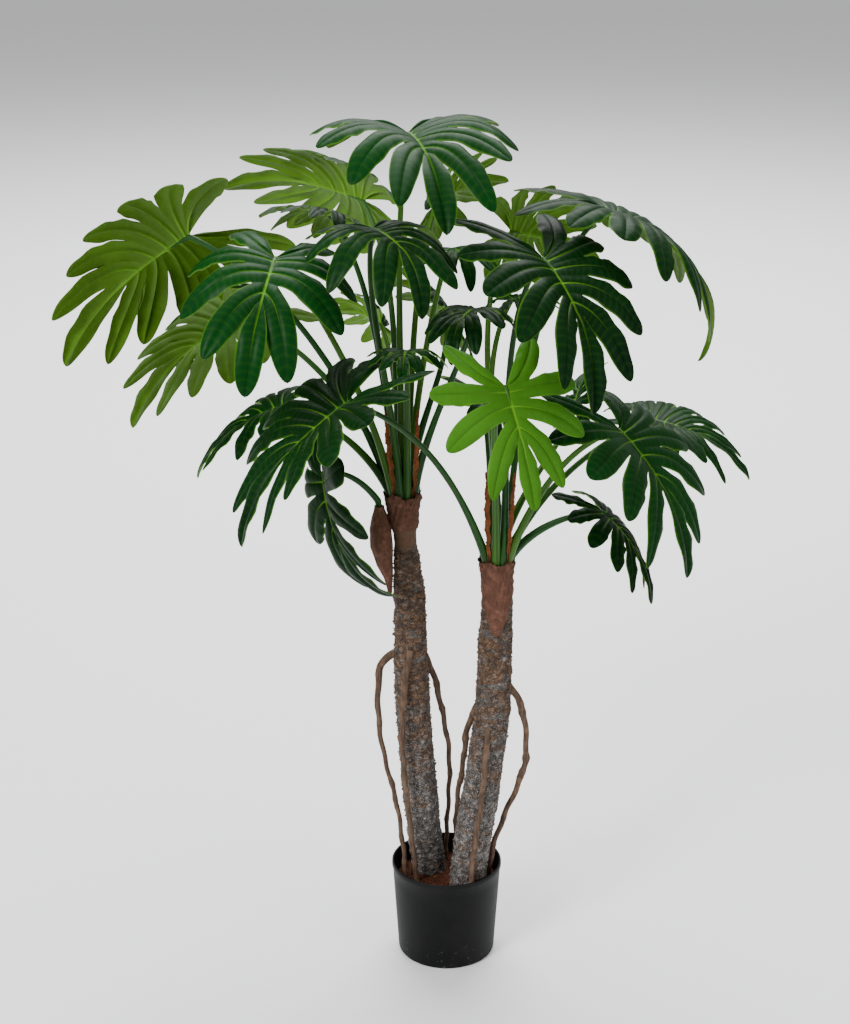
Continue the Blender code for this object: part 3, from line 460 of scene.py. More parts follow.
def end_tree(graph, shape, material):
    """Real geometry with its material, shaded smooth, to the tree's output."""
    real = graph.geometry("RealizeInstances", {"Geometry": shape})
    smooth = graph.geometry("SetShadeSmooth", {"Geometry": real})
    shown = graph.geometry("SetMaterial", {"Geometry": smooth, "Material": material})
    result = graph.tree.nodes.new("NodeGroupOutput")
    graph.tree.links.new(shown.socket, result.inputs[0])


def grow(piece, tree, **values):
    """Run a tree on a piece and leave the result as its plain mesh."""
    step = piece.modifiers.new("shape", "NODES")
    step.node_group = tree
    for item in tree.interface.items_tree:
        key = item.name.replace(" ", "_").lower()
        if item.item_type == "SOCKET" and item.in_out == "INPUT" and key in values:
            step[item.identifier] = values[key]
    return apply_modifiers(piece)


def bar_tree():
    """A capped bar along a run of points, as wide as their width attribute, with bark relief."""
    tree, graph, given = geometry_tree("Bar along Path", (
        ("Sides", "Int", 12), ("Plate Height", "Float", 0.0), ("Plate Width", "Float", 0.012),
        ("Lump Height", "Float", 0.0), ("Band Height", "Float", 0.0), ("Grain", "Float", 0.0),
        ("Smooth Above", "Float", 9.0), ("Material", "Material", None)))
    line = graph.geometry("MeshToCurve", {"Mesh": given["Geometry"]})
    line = graph.store(line, "along", graph.geometry("SplineParameter", output="Length"))
    ring = graph.geometry("CurvePrimitiveCircle", {"Resolution": given["Sides"], "Radius": 1.0})
    ring = graph.store(ring, "around", graph.geometry("SplineParameter", output="Factor"))
    width = graph.geometry("InputNamedAttribute", {"Name": "width"})
    bar = graph.geometry("CurveToMesh", {"Curve": line, "Profile Curve": ring, "Scale": width, "Fill Caps": True})
    place = graph.geometry("InputPosition")
    height = graph.node("ShaderNodeSeparateXYZ", None, {0: place}, output="Z")
    bare = 1 - height.over(given["Smooth Above"] - 0.012, given["Smooth Above"] + 0.004)
    wander = graph.noise(place, 60.0)
    bent = graph.node("ShaderNodeVectorMath", {"operation": "MULTIPLY_ADD"}, {
        0: graph.node("ShaderNodeTexNoise", None, {"Vector": place, "Scale": 45.0}, output="Color"),
        1: (0.014, 0.014, 0.014), 2: place})
    scale = graph.node("ShaderNodeMath", {"operation": "DIVIDE"}, {0: 1.0, 1: given["Plate Width"]})
    plates = graph.cracks(graph.scaled(bent, 1.0, 1.0, 1.75), scale).over(0.0, 0.30)
    bands = graph.noise(graph.scaled(bent, 1.0, 1.0, 2.6), 85.0, 4.0, 0.62)
    pits = graph.noise(place, 330.0, 4.0, 0.65)
    relief = plates * given["Plate Height"] * bare * (wander - 0.1)
    relief = relief + (bands - 0.5) * given["Band Height"] * bare
    relief = relief + (graph.noise(place, 24.0, 1.0) - 0.5) * given["Lump Height"] * bare
    relief = relief + (pits - 0.5) * given["Grain"]
    normal = graph.geometry("InputNormal")
    offset = graph.node("ShaderNodeVectorMath", {"operation": "SCALE"}, {0: normal, "Scale": relief})
    # plates: 0 in the cracks between bark plates, where the bark finish paints shade.
    bar = graph.store(graph.store(bar, "plates", plates), "neck", 1 - bare)
    end_tree(graph, graph.geometry("SetPosition", {"Geometry": bar, "Offset": offset}), given["Material"])
    return tree


def scatter_tree():
    """Crumbs, flakes or fibres on the faces of a surface between two heights, without the surface."""
    tree, graph, given = geometry_tree("Scatter on Surface", (
        ("Density", "Float", 1000.0), ("Seed", "Int", 1), ("Smallest", "Float", 0.001),
        ("Largest", "Float", 0.003), ("Stretch", "Float", 1.0), ("Upright", "Float", 0.0),
        ("Lowest", "Float", -9.0), ("Highest", "Float", 9.0), ("Material", "Material", None)))

    def compare(operation, limit):
        settings = {"data_type": "FLOAT", "operation": operation}
        return graph.node("FunctionNodeCompare", settings, {0: height, 1: limit})

    def draw(kind, seed, inputs):
        return graph.node("FunctionNodeRandomValue", {"data_type": kind}, {**inputs, "Seed": seed},
                          1 if kind == "FLOAT" else 0)

    place = graph.geometry("InputPosition")
    height = graph.node("ShaderNodeSeparateXYZ", None, {0: place}, output="Z")
    within = graph.node("FunctionNodeBooleanMath", {"operation": "AND"}, {
        0: compare("GREATER_THAN", given["Lowest"]), 1: compare("LESS_THAN", given["Highest"])})
    spots = graph.geometry("DistributePointsOnFaces", {
        "Mesh": given["Geometry"], "Selection": within, "Density": given["Density"], "Seed": given["Seed"]})
    grain = graph.geometry("MeshIcoSphere", {"Radius": 1.0, "Subdivisions": 1})
    size = draw("FLOAT", given["Seed"], {2: given["Smallest"], 3: given["Largest"]})
    wide = draw("FLOAT", 7, {2: 0.5, 3: 1.0})
    scale = graph.node("ShaderNodeCombineXYZ", None, {0: size, 1: size * wide, 2: size * given["Stretch"]})
    turn = draw("FLOAT_VECTOR", 11, {0: (-3.1, -3.1, -3.1), 1: (3.1, 3.1, 3.1)})
    loose = draw("FLOAT_VECTOR", 12, {0: (-0.5, -0.5, -3.1), 1: (0.5, 0.5, 3.1)})
    spin = graph.node("ShaderNodeMix", {"data_type": "VECTOR"}, {0: given["Upright"], 4: turn, 5: loose}, 1)
    spin = graph.node("FunctionNodeEulerToRotation", None, {0: spin})
    spun = graph.geometry("InstanceOnPoints", {
        "Points": spots, "Instance": grain, "Rotation": spin, "Scale": scale})
    end_tree(graph, spun, given["Material"])
    return tree


# Mesh helpers

def placed(name, data):
    """A new object in the scene."""
    made = bpy.data.objects.new(name, data)
    bpy.context.scene.collection.objects.link(made)
    return made


def mesh_object(name, points, faces, materials=()):
    mesh = bpy.data.meshes.new(name)
    mesh.from_pydata([tuple(point) for point in points], [], faces)
    mesh.update()
    for made in materials:
        mesh.materials.append(made)
    return placed(name, mesh)


def apply_modifiers(piece):
    """Turn a piece with modifiers into a plain mesh."""
    graph = bpy.context.evaluated_depsgraph_get()
    graph.update()
    mesh = bpy.data.meshes.new_from_object(piece.evaluated_get(graph))
    piece.modifiers.clear()
    old = piece.data
    piece.data = mesh
    bpy.data.meshes.remove(old)
    return piece


def join(pieces, name):
    """Several mesh pieces as one."""
    first = pieces[0]
    with bpy.context.temp_override(active_object=first, selected_editable_objects=pieces):
        bpy.ops.object.join()
    first.name = name
    first.data.name = name
    return first


def ring_faces(rows, columns, capped=False):
    """Faces between rings of points, one ring after another, with the first and the last closed where asked."""
    faces = [(r * columns + k, r * columns + (k + 1) % columns, (r + 1) * columns + (k + 1) % columns,
              (r + 1) * columns + k) for r in range(rows) for k in range(columns)]
    if capped:
        faces.append(list(range(columns))[::-1])
        faces.append([rows * columns + k for k in range(columns)])
    return faces


def thicken(piece, thickness, offset):
    """Give a sheet its thickness."""
    shell = piece.modifiers.new("thickness", "SOLIDIFY")
    shell.thickness = thickness
    shell.offset = offset
    return apply_modifiers(piece)


def scattered(piece, tree, **values):
    """What a scatter tree puts on a piece, as a piece of its own."""
    return grow(placed(piece.name + "_scattered", piece.data.copy()), tree, **values)


def mark(piece, name, values):
    """Keep a value for every point of a piece; one number stands for all."""
    values = np.broadcast_to(np.asarray(values, dtype=np.float32), len(piece.data.vertices))
    piece.data.attributes.new(name, "FLOAT", "POINT").data.foreach_set("value", values.copy())


def tidy(piece):
    """Merge doubles and turn the faces outward."""
    work = bmesh.new()
    work.from_mesh(piece.data)
    bmesh.ops.remove_doubles(work, verts=work.verts, dist=0.00001)
    bmesh.ops.recalc_face_normals(work, faces=work.faces)
    work.to_mesh(piece.data)
    work.free()
    return piece


def smooth(piece, angle=50.0):
    piece.data.shade_smooth()
    piece.data.set_sharp_from_angle(angle=math.radians(angle))
    return piece


def hand_over(piece, slot, *nodes):
    """Hang a finished piece on the root body and hide the model parts that it stands for."""
    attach(piece, "root")
    if nodes:
        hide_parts(*nodes)
    return piece


def path_object(name, points, widths):
    """A run of points with their widths, for the bar tree."""
    mesh = bpy.data.meshes.new(name)
    mesh.from_pydata([tuple(point) for point in points], [(k, k + 1) for k in range(len(points) - 1)], [])
    piece = placed(name, mesh)
    mark(piece, "width", widths)
    return piece


def smooth_path(points, values, step):
    """A rounded run through points, about a step apart, with values read along it."""
    points = np.array(points, dtype=float)
    spans = np.linalg.norm(np.diff(points, axis=0), axis=1)
    places = np.concatenate(([0.0], np.cumsum(spans)))
    count = max(int(places[-1] / step), 4)
    fine = np.linspace(0.0, places[-1], count + 1)
    raw = np.stack([np.interp(fine, places, points[:, k]) for k in range(3)], axis=1)
    reach = max(int(0.5 * np.mean(spans) / step), 1)
    for _ in range(2):
        padded = np.vstack([raw[0] + (raw[0] - raw[1:reach + 1][::-1]), raw,
                            raw[-1] + (raw[-1] - raw[-reach - 1:-1][::-1])])
        kernel = np.ones(2 * reach + 1) / (2 * reach + 1)
        raw = np.stack([np.convolve(padded[:, k], kernel, "valid") for k in range(3)], axis=1)
    table = np.interp(fine / places[-1], np.linspace(0.0, 1.0, len(values)), values)
    return raw, table


def unit(vector):
    return vector / np.linalg.norm(vector)


# Finishes

def scaled_tint(colour, share):
    """A colour made lighter or darker."""
    return tuple(share * part for part in colour)


def leaf_finish(name, deep, lively, vein):
    """A leaf's upper face: clouded green, thin pale veins, a painted highlight along the rim and a soft gloss."""
    made = Finish(name, {"Specular IOR Level": 0.045})
    cloud = made.noise(made.place, 11.0, 3.0)
    fine = made.noise(made.place, 150.0, 3.0)
    shade = made.attribute("shade")
    tone = (cloud * 1.3 + shade * 0.9 - 0.62).clamp()
    colour = made.mix(tone, deep, lively)
    ripple = made.ripple()
    colour = made.mix(ripple * 0.025, colour, vein)
    colour = made.mix(made.attribute("rib").over(0.35, 0.9) * 0.75, colour, vein)
    # Painted highlight: the lobes' rims are tinted toward the vein green, standing in for light catching the
    # thick edges.
    colour = made.mix(made.attribute("edge").over(0.86, 1.0) * 0.30, colour, vein)
    return made.done(colour, 0.29 + fine * 0.20, fine * 0.5 + ripple * -0.25, 0.25, 0.0006)


def underside_finish(name, under, vein):
    """A leaf's lower face: paler yellow green with raised pale veins."""
    made = Finish(name, {"Specular IOR Level": 0.20})
    cloud = made.noise(made.place, 16.0, 3.0)
    fine = made.noise(made.place, 170.0, 3.0)
    shade = made.attribute("shade")
    dark = scaled_tint(under, 0.45)
    colour = made.mix((cloud * 1.2 + shade * 0.5 - 0.30).clamp(), dark, under)
    ripple = made.ripple()
    colour = made.mix(ripple * 0.04, colour, vein)
    colour = made.mix(made.attribute("rib").over(0.30, 0.95) * 0.75, colour, vein)
    return made.done(colour, 0.45 + fine * 0.20, fine * 0.5 + ripple * 0.3, 0.28, 0.0007)


def stalk_finish(name, colour, pale):
    """A leaf stalk: green with lighter lengthwise stripes and a soft gloss."""
    made = Finish(name, {"Specular IOR Level": 0.20})
    shade = made.attribute("shade")
    flow = made.node("ShaderNodeCombineXYZ", None, {
        0: made.attribute("around") * 9.0, 1: made.attribute("along") * 3.0, 2: shade * 7.0})
    stripe = made.noise(flow, 1.6, 2.0)
    cloud = made.noise(made.place, 9.0)
    tone = made.mix((shade * 1.2 + cloud * 0.8 - 0.75).clamp() * 0.65, colour, pale)
    dark = made.mix(1.0, tone, (0.45, 0.50, 0.45), "MULTIPLY")
    colour = made.mix(stripe.over(0.35, 0.62), dark, tone)
    return made.done(colour, 0.34 + stripe * 0.22, stripe, 0.25, 0.0006)


def bark_finish(name, brown, grey):
    """Bark: brown plates, grey crust, more of it low down, with pale dust, dark cracks (their own darker bark
    plus painted shade) and a smooth neck.
    """
    made = Finish(name, {"Specular IOR Level": 0.30})
    bands = made.scaled(made.place, 1.0, 1.0, 2.6)
    cloud = made.noise(bands, 34.0, 4.0, 0.6)
    speck = made.noise(made.place, 420.0, 3.0, 0.7)
    patch = made.noise(made.place, 95.0, 4.0, 0.65)
    low = 1 - made.height().over(0.20, 0.52)
    colour = made.mix((cloud + low * 0.16).over(0.50, 0.66), brown, grey)
    colour = made.mix(patch.over(0.40, 0.56), made.mix(1.0, colour, (0.36, 0.34, 0.33), "MULTIPLY"), colour)
    colour = made.mix((patch + low * 0.05).over(0.60, 0.72) * 0.6, colour, (0.30, 0.295, 0.29))
    colour = made.mix(speck.over(0.48, 0.60) * 0.70, colour, (0.030, 0.022, 0.018))
    dust = made.noise(made.place, 680.0, 3.0, 0.6)
    colour = made.mix((dust + low * 0.06).over(0.58, 0.68) * 0.65, colour, (0.42, 0.41, 0.40))
    # Painted shade: the cracks between plates, already sunk into the mesh, are darkened as well; partly the
    # cracks' own darker bark.
    crack = made.attribute("plates").over(0.0, 0.55)
    colour = made.mix((1 - crack) * 0.55, colour, (0.024, 0.017, 0.013))
    grain = made.noise(made.scaled(made.place, 1.0, 1.0, 0.25), 320.0, 3.0)
    neck = made.mix(grain, (0.060, 0.030, 0.018), (0.150, 0.085, 0.050))
    colour = made.mix(made.attribute("neck"), colour, neck)
    return made.done(colour, 0.72 + speck * 0.25, speck * 0.6 + patch * 0.7, 0.75, 0.0012)


def root_finish(name, brown):
    """Aerial root: brown with lengthwise wrinkles and paler patches."""
    made = Finish(name, {"Specular IOR Level": 0.25})
    drawn = made.scaled(made.place, 1.0, 1.0, 0.22)
    fibre = made.noise(drawn, 260.0, 3.0, 0.6)
    cloud = made.noise(made.place, 45.0, 3.0)
    dark = scaled_tint(brown, 0.55)
    pale = tuple(min(1.7 * part, 1.0) for part in brown)
    colour = made.mix(fibre.over(0.38, 0.62), dark, brown)
    colour = made.mix(cloud.over(0.52, 0.68) * 0.55, colour, pale)
    return made.done(colour, 0.70 + cloud * 0.2, fibre, 0.7, 0.0012)


def fibre_finish(name, brown, pale_share, coarse=1.0, foot=0.0):
    """A fibrous wrap or papery strip: lengthwise fibres in brown tones, darker at its foot."""
    made = Finish(name, {"Specular IOR Level": 0.20})
    drawn = made.scaled(made.place, 1.0, 1.0, 0.16)
    fibre = made.noise(drawn, 950.0 * coarse, 4.0, 0.65)
    cloud = made.noise(made.place, 70.0, 3.0, 0.6)
    dark = scaled_tint(brown, 0.50)
    pale = tuple(min(1.9 * part + 0.01, 1.0) for part in brown)
    colour = made.mix(fibre.over(0.30, 0.66), dark, brown)
    colour = made.mix(cloud.over(0.45, 0.70) * pale_share, colour, pale)
    low = 1 - (made.attribute("along") + cloud * 0.02).over(0.012, 0.050)
    colour = made.mix(low * foot, colour, (0.050, 0.020, 0.012))
    return made.done(colour, 0.75 + cloud * 0.2, fibre * 0.8 + cloud * 0.6, 0.8, 0.0010)


def soil_finish(name, brown):
    """Potting mix: dark red brown with paler bits."""
    made = Finish(name, {"Specular IOR Level": 0.15})
    grain = made.noise(made.place, 300.0, 4.0, 0.7)
    cloud = made.noise(made.place, 60.0, 3.0)
    dark = scaled_tint(brown, 0.22)
    colour = made.mix(grain.over(0.35, 0.65), dark, brown)
    colour = made.mix(cloud.over(0.60, 0.72) * 0.5, colour, (0.20, 0.12, 0.06))
    return made.done(colour, 0.85 + grain * 0.12, grain, 0.8, 0.0015)


def plastic_finish(name, black):
    """Nursery pot: near black, satin, with faint dust and scuffs near its foot."""
    made = Finish(name, {"Specular IOR Level": 0.12})
    fine = made.noise(made.place, 520.0, 3.0, 0.6)
    cloud = made.noise(made.place, 14.0, 4.0, 0.6)
    low = 1 - made.height().over(0.004, 0.050)
    specks = made.noise(made.place, 190.0, 2.0, 0.5)
    dust = (cloud.over(0.45, 0.75) * 0.02 + low * specks.over(0.66, 0.74) * 0.55).clamp()
    colour = made.mix(dust, black, (0.20, 0.19, 0.18))
    return made.done(colour, 0.46 + cloud * 0.16 + dust * 0.2, fine, 0.10, 0.0004)


# Blades

INNER_ROWS = (0.0, 0.10, 0.24, 0.40, 0.56, 0.72, 0.87, 1.0)
LOBE_ROWS = (0.02, 0.05, 0.09, 0.14, 0.19, 0.25, 0.32, 0.40, 0.48, 0.56, 0.64, 0.72, 0.79, 0.85,
             0.90, 0.94, 0.970, 0.988)
COLUMNS = (0.0, 0.07, 0.18, 0.33, 0.50, 0.67, 0.82, 0.93, 1.0)


def blade_lobes(leaf, side, dice):
    """The lobes down one side: vein start, tip sideways, tip lengthways, half width."""
    table = np.array(SIDE_LOBES)
    lobes = []
    for place in np.linspace(0.0, len(table) - 1.0, leaf["lobes"]):
        start, across, along, half = (np.interp(place, range(len(table)), table[:, k]) for k in range(4))
        across = side * (across + dice.uniform(-0.03, 0.03)) * leaf["width"]
        along = along + dice.uniform(-0.025, 0.025)
        lobes.append((start, across, along, half * (len(table) / leaf["lobes"]) ** 0.5))
    return lobes


def vein_point(lobe, share):
    """A point on a lobe's vein, which leaves the midrib squarely and then turns forward."""
    start, across, along = lobe[:3]
    first = np.array((0.0, start))
    last = np.array((across, along))
    bend = np.array((0.55 * across, start + 0.16 * (along - start)))
    if across == 0.0:
        bend = 0.5 * (first + last)
    return (1 - share) ** 2 * first + 2 * share * (1 - share) * bend + share ** 2 * last


def sinus_share(one, two):
    """Where two neighbouring lobes part: the first place their widths clear each other."""
    need = (LOBE_NECK + 0.02) * (one[3] + two[3])
    share = 0.18
    while share < 0.75 and np.linalg.norm(vein_point(one, share) - vein_point(two, share)) < need:
        share += 0.01
    return share


def square_to(lobe, share):
    """The direction square to a lobe's vein."""
    step = vein_point(lobe, share + 0.01) - vein_point(lobe, share - 0.01)
    return np.array((-step[1], step[0])) / np.linalg.norm(step)


def across_row(left, centre, right, share, droop):
    """One row of a lobe: places (sideways, lengthways, across, along, half width, droop)."""
    row = []
    for edge, sign, shares in ((left, -1.0, COLUMNS), (right, 1.0, COLUMNS[-2::-1])):
        half = np.linalg.norm(edge - centre)
        for part in shares:
            x, y = edge + (centre - edge) * part
            row.append((x, y, sign * (1.0 - part), share, half, droop))
    return row


def blade_rows(leaf):
    """Rows of places for every lobe, left basal to right basal, and each lobe's tip and size."""
    dice = random.Random(leaf["seed"])
    left = blade_lobes(leaf, -1, dice)
    right = blade_lobes(leaf, 1, dice)
    seam_start = 0.5 * (left[-1][0] + TERMINAL_LOBE[0])
    lobes = left + [(seam_start,) + TERMINAL_LOBE[1:]] + right[::-1]
    shares = [sinus_share(one, two) for one, two in zip(lobes, lobes[1:])]
    notch_x, notch_y = BASE_NOTCH
    seams = [(np.zeros(2), np.array((-notch_x, notch_y)))]
    for one, two, share in zip(lobes, lobes[1:], shares):
        foot = np.array((0.0, 0.5 * (one[0] + two[0])))
        if 0.0 in (one[1], two[1]):
            foot = np.array((0.0, seam_start))
        seams.append((foot, 0.5 * (vein_point(one, share) + vein_point(two, share))))
    seams.append((np.zeros(2), np.array((notch_x, notch_y))))
    ends = [0.05] + shares + [0.05]
    made = []
    for index, lobe in enumerate(lobes):
        joined = max(ends[index], ends[index + 1])
        swing = dice.uniform(0.3, 1.7) * leaf["flop"]
        rows = []
        for share in INNER_ROWS:
            centre = vein_point(lobe, joined * share)
            edges = [foot + (notch - foot) * share for foot, notch in seams[index:index + 2]]
            rows.append(across_row(edges[0], centre, edges[1], joined * share, 0.0))
        first = vein_point(lobe, joined)
        slope = square_to(lobe, joined)
        for share in LOBE_ROWS:
            place = joined + (1.0 - joined) * share
            centre = vein_point(lobe, place)
            across = square_to(lobe, place)
            half = lobe[3] * (LOBE_NECK + (1.0 - LOBE_NECK) * math.sin(math.pi * min(share, 0.55) / 1.1))
            half *= max(1.0 - share ** 4.6, 0.0) ** 0.58
            blend = max(1.0 - share / 0.24, 0.0) ** 1.6
            edges = []
            for sign, (foot, notch) in zip((1, -1), seams[index:index + 2]):
                offset = notch - (first + slope * sign * lobe[3] * LOBE_NECK)
                edges.append(centre + across * sign * half + offset * blend)
            rows.append(across_row(edges[0], centre, edges[1], place, swing * share ** 2 * (1.0 - joined)))
        x, y = vein_point(lobe, 1.0)
        size = math.hypot(lobe[1], lobe[2] - lobe[0])
        made.append((rows, (x, y, 0.0, 1.0, 0.0, swing * (1.0 - joined)), joined, size))
    return made


def blade_frame(leaf):
    """Length, start point and the forward, right and upper directions at the blade's base."""
    base = np.array(leaf["base"])
    chord = np.array(leaf["tip"]) - base
    span = np.linalg.norm(chord)
    half = math.radians(leaf["droop"]) / 2
    length = span * half / math.sin(half)
    ahead = chord / span
    right = unit(np.cross(ahead, (0.0, 0.0, 1.0)))
    upper = np.cross(right, ahead)
    roll = math.radians(leaf["roll"])
    upper, right = (upper * math.cos(roll) + right * math.sin(roll),
                    right * math.cos(roll) - upper * math.sin(roll))
    forward = ahead * math.cos(half) + upper * math.sin(half)
    upper = upper * math.cos(half) - ahead * math.sin(half)
    return length, base, forward, right, upper


def blade_point(leaf, frame_at, x, y, drop):
    """Bend a flat outline point over the drooping midrib and sides; drop is in metres."""
    length, base, forward, right, upper = frame_at
    sideways, lengthways = x * length, y * length
    bend = math.radians(leaf["droop"]) / length
    if lengthways < 0:
        bend = math.radians(BACK_CURL) / (0.5 * length)
    angle = bend * lengthways
    normal = upper * math.cos(angle) + forward * math.sin(angle)
    side = 0 if sideways < 0 else 1
    curl = math.radians(leaf["sides"][side]) / (0.7 * length)
    start = math.radians(leaf["keel"])
    reach = abs(sideways)
    across = (math.sin(curl * reach - start) + math.sin(start)) / curl
    fall = (math.cos(start) - math.cos(curl * reach - start)) / curl
    across = across if side else -across
    return (base + forward * (math.sin(angle) / bend) - upper * ((1.0 - math.cos(angle)) / bend)
            + right * across - normal * (fall + drop))


def relief(leaf, settings, length, place, joined, phase):
    """Height of a place over the plain blade, and how much of it is vein."""
    x, y, across, along, half, _ = place
    reach = abs(across)
    vein = reach * half * length
    midrib = abs(x) * length
    fade = max(1.0 - along, 0.0) ** 0.6
    rib = 0.8 * math.exp(-(vein / VEIN_HALF) ** 2) * fade
    if y > -0.01:
        rib = max(rib, math.exp(-(midrib / MIDRIB_HALF) ** 2) * max(1.0 - 0.7 * y, 0.2))
    puff = settings.puff * half * length * math.sin(math.pi * reach ** 0.8) * min(along / 0.12, 1.0)
    height = puff - settings.crease * rib
    free = max(along - joined, 0.0) / (1.0 - joined)
    window = math.sin(math.pi * min(free, 1.0)) ** 0.7 if 0.0 < free < 1.0 else 0.0
    side = 1.0 if across > 0 else 1.7
    height += settings.wave * math.sin(2 * math.pi * (1.7 * free + phase) * side) * reach ** 3 * window
    height -= 0.10 * half * length * reach ** 4 * window
    return height, rib


def build_blade(leaf, settings, materials):
    """A blade with creased, puffed lobes, thicker at its ribs."""
    frame_at = blade_frame(leaf)
    length = frame_at[0]
    dice = random.Random(leaf["seed"] + 500)
    points, faces, index = [], [], {}
    marks = {"rib": [], "edge": [], "along": [], "across": []}

    def put(place, joined, phase, size):
        key = (round(place[0], 6), round(place[1], 6))
        if key not in index:
            height, rib = relief(leaf, settings, length, place, joined, phase)
            index[key] = len(points)
            points.append(blade_point(leaf, frame_at, place[0], place[1], place[5] * length - height))
            free = 1.0 if place[3] > joined else 0.0
            marks["rib"].append(rib)
            # edge: nearness to a lobe's rim; the upper-face finish paints a highlight there.
            marks["edge"].append(abs(place[2]) * free if place[3] < 1.0 else 1.0)
            marks["along"].append(place[3] * size * length)
            marks["across"].append(abs(place[2]))
        return index[key]

    for rows, tip, joined, size in blade_rows(leaf):
        phase = dice.random()
        numbers = [[put(place, joined, phase, size) for place in row] for row in rows]
        for one, two in zip(numbers, numbers[1:]):
            for k in range(len(one) - 1):
                face = (one[k], one[k + 1], two[k + 1], two[k])
                kept = list(dict.fromkeys(face))
                if len(kept) > 2:
                    faces.append(kept)
        last = put(tip, joined, phase, size)
        for k in range(len(numbers[-1]) - 1):
            faces.append((numbers[-1][k], numbers[-1][k + 1], last))
    piece = mesh_object(leaf["name"] + "_blade", points, faces, materials)
    if piece.data.polygons[len(faces) // 2].normal.dot(Vector(frame_at[4])) < 0:
        piece.data.flip_normals()
    for name, values in marks.items():
        mark(piece, name, values)
    group = piece.vertex_groups.new(name="rib")
    for number, rib in enumerate(marks["rib"]):
        group.add([number], rib, "REPLACE")
    shell = piece.modifiers.new("thickness", "SOLIDIFY")
    shell.thickness = settings.thickness
    shell.offset = -1.0
    shell.vertex_group = "rib"
    shell.thickness_vertex_group = WEB_SHARE
    shell.material_offset = 1
    shell.material_offset_rim = 1
    apply_modifiers(piece)
    piece.vertex_groups.clear()
    return piece


def stalk_run(leaf):
    """Points and widths of a stalk, from the crown over to the blade and on under its midrib."""
    frame_at = blade_frame(leaf)
    _, base, forward, _, upper = frame_at
    rise = np.array(leaf["start"])
    top = np.array(leaf["slot"])
    begin = top + rise * 0.012
    ahead = unit(base - begin)
    reach = np.linalg.norm(base - begin)
    end = base - upper * 0.0026
    second = begin + unit(ahead + rise * 0.9) * 0.38 * reach
    third = end - unit(0.8 * ahead + 0.5 * forward) * 0.30 * reach
    points = [top - rise * 0.006]
    widths = [0.0048]
    count = max(int(reach / STALK_STEP), 12)
    for k in range(count + 1):
        t = k / count
        points.append((1 - t) ** 3 * begin + 3 * (1 - t) ** 2 * t * second
                      + 3 * (1 - t) * t * t * third + t ** 3 * end)
        widths.append(np.interp(t * reach, *STALK_RADII) * np.interp(t, *STALK_SHARES))
    for y, width in STALK_TAIL:
        points.append(blade_point(leaf, frame_at, 0.0, y, 0.0018))
        widths.append(width)
    return points, [width * leaf["stalk"] for width in widths]


def leaf_table():
    """The leaves with all their values."""
    keys = ("name", "crown", "angle", "ring", "base", "tip", "roll", "droop",
            "sides", "lobes", "width", "flop", "seed")
    leaves = []
    for row in LEAVES:
        leaf = dict(zip(keys, row))
        turn = math.radians(leaf["angle"])
        reach = OUTER_RING if leaf["ring"] else INNER_RING
        away = reach * np.array((math.cos(turn), math.sin(turn), 0.0))
        leaf.update(keel=KEELS.get(leaf["name"], KEEL), stalk=1.0, start=(0.0, 0.0, 1.0))
        if leaf["crown"] == "pouch":
            leaf.update(stalk=0.75, start=POUCH_LEAN)
            away = np.zeros(3)
        leaf["slot"] = np.array(CROWNS[leaf["crown"]]) + away
        leaves.append(leaf)
    return leaves


# Operators

class SELLOUM_OT_leaves(bpy.types.Operator):
    """Build every leaf: a stalk along its path and a lobed blade"""
    bl_idname = "selloum.leaves"
    bl_label = "Leaves"

    def execute(self, context):
        settings = context.scene.selloum_leaves
        top = leaf_finish("leaf_top_face", settings.deep, settings.lively, settings.vein)
        young = leaf_finish("leaf_young_face", scaled_tint(settings.bright, 0.55), settings.bright, settings.vein)
        under = underside_finish("leaf_underside", settings.under, settings.vein)
        stalk = stalk_finish("leaf_stalk", settings.stalk, settings.under)
        tree = bar_tree()
        for leaf in leaf_table():
            is_young = leaf["name"] == "leaf_bright_front"
            blade = build_blade(leaf, settings, (young if is_young else top, under))
            points, widths = stalk_run(leaf)
            bar = path_object(leaf["name"] + "_stalk", points, widths)
            bar = grow(bar, tree, sides=STALK_SIDES, material=stalk)
            piece = join([blade, bar], leaf["name"] + "_fine")
            mark(piece, "shade", random.Random(leaf["seed"] + 90).random())
            smooth(piece, 60.0)
            hand_over(piece, "leaf_bright_green" if is_young else "leaf_green", leaf["name"])
        return {"FINISHED"}


class SELLOUM_OT_trunks(bpy.types.Operator):
    """Build the two trunks with their bark plates"""
    bl_idname = "selloum.trunks"
    bl_label = "Trunks"

    def execute(self, context):
        settings = context.scene.selloum_trunks
        bark = bark_finish("bark_crust", settings.brown, settings.grey)
        tree, scatter = bar_tree(), scatter_tree()
        for name, bark_top in BARK_TOPS.items():
            rows = np.array(TRUNKS[name])
            points, _ = smooth_path(rows[:, :3], rows[:, 3], TRUNK_STEP)
            widths = np.interp(points[:, 2], rows[:, 2], rows[:, 3]) - 0.0008
            piece = grow(path_object(name + "_fine", points, widths), tree, sides=TRUNK_SIDES,
                         plate_height=settings.ridge, plate_width=settings.plate, lump_height=settings.lump,
                         band_height=settings.band, grain=0.0022, smooth_above=bark_top, material=bark)
            flakes = scattered(piece, scatter, density=settings.flakes, lowest=BARK_FOOT,
                               highest=bark_top - 0.012, material=bark, **FLAKES)
            # Flakes count as plates, so no painted crack shade falls on them.
            mark(flakes, "plates", 1.0)
            piece = join([piece, flakes], name + "_fine")
            hand_over(piece, "bark", name)
        return {"FINISHED"}


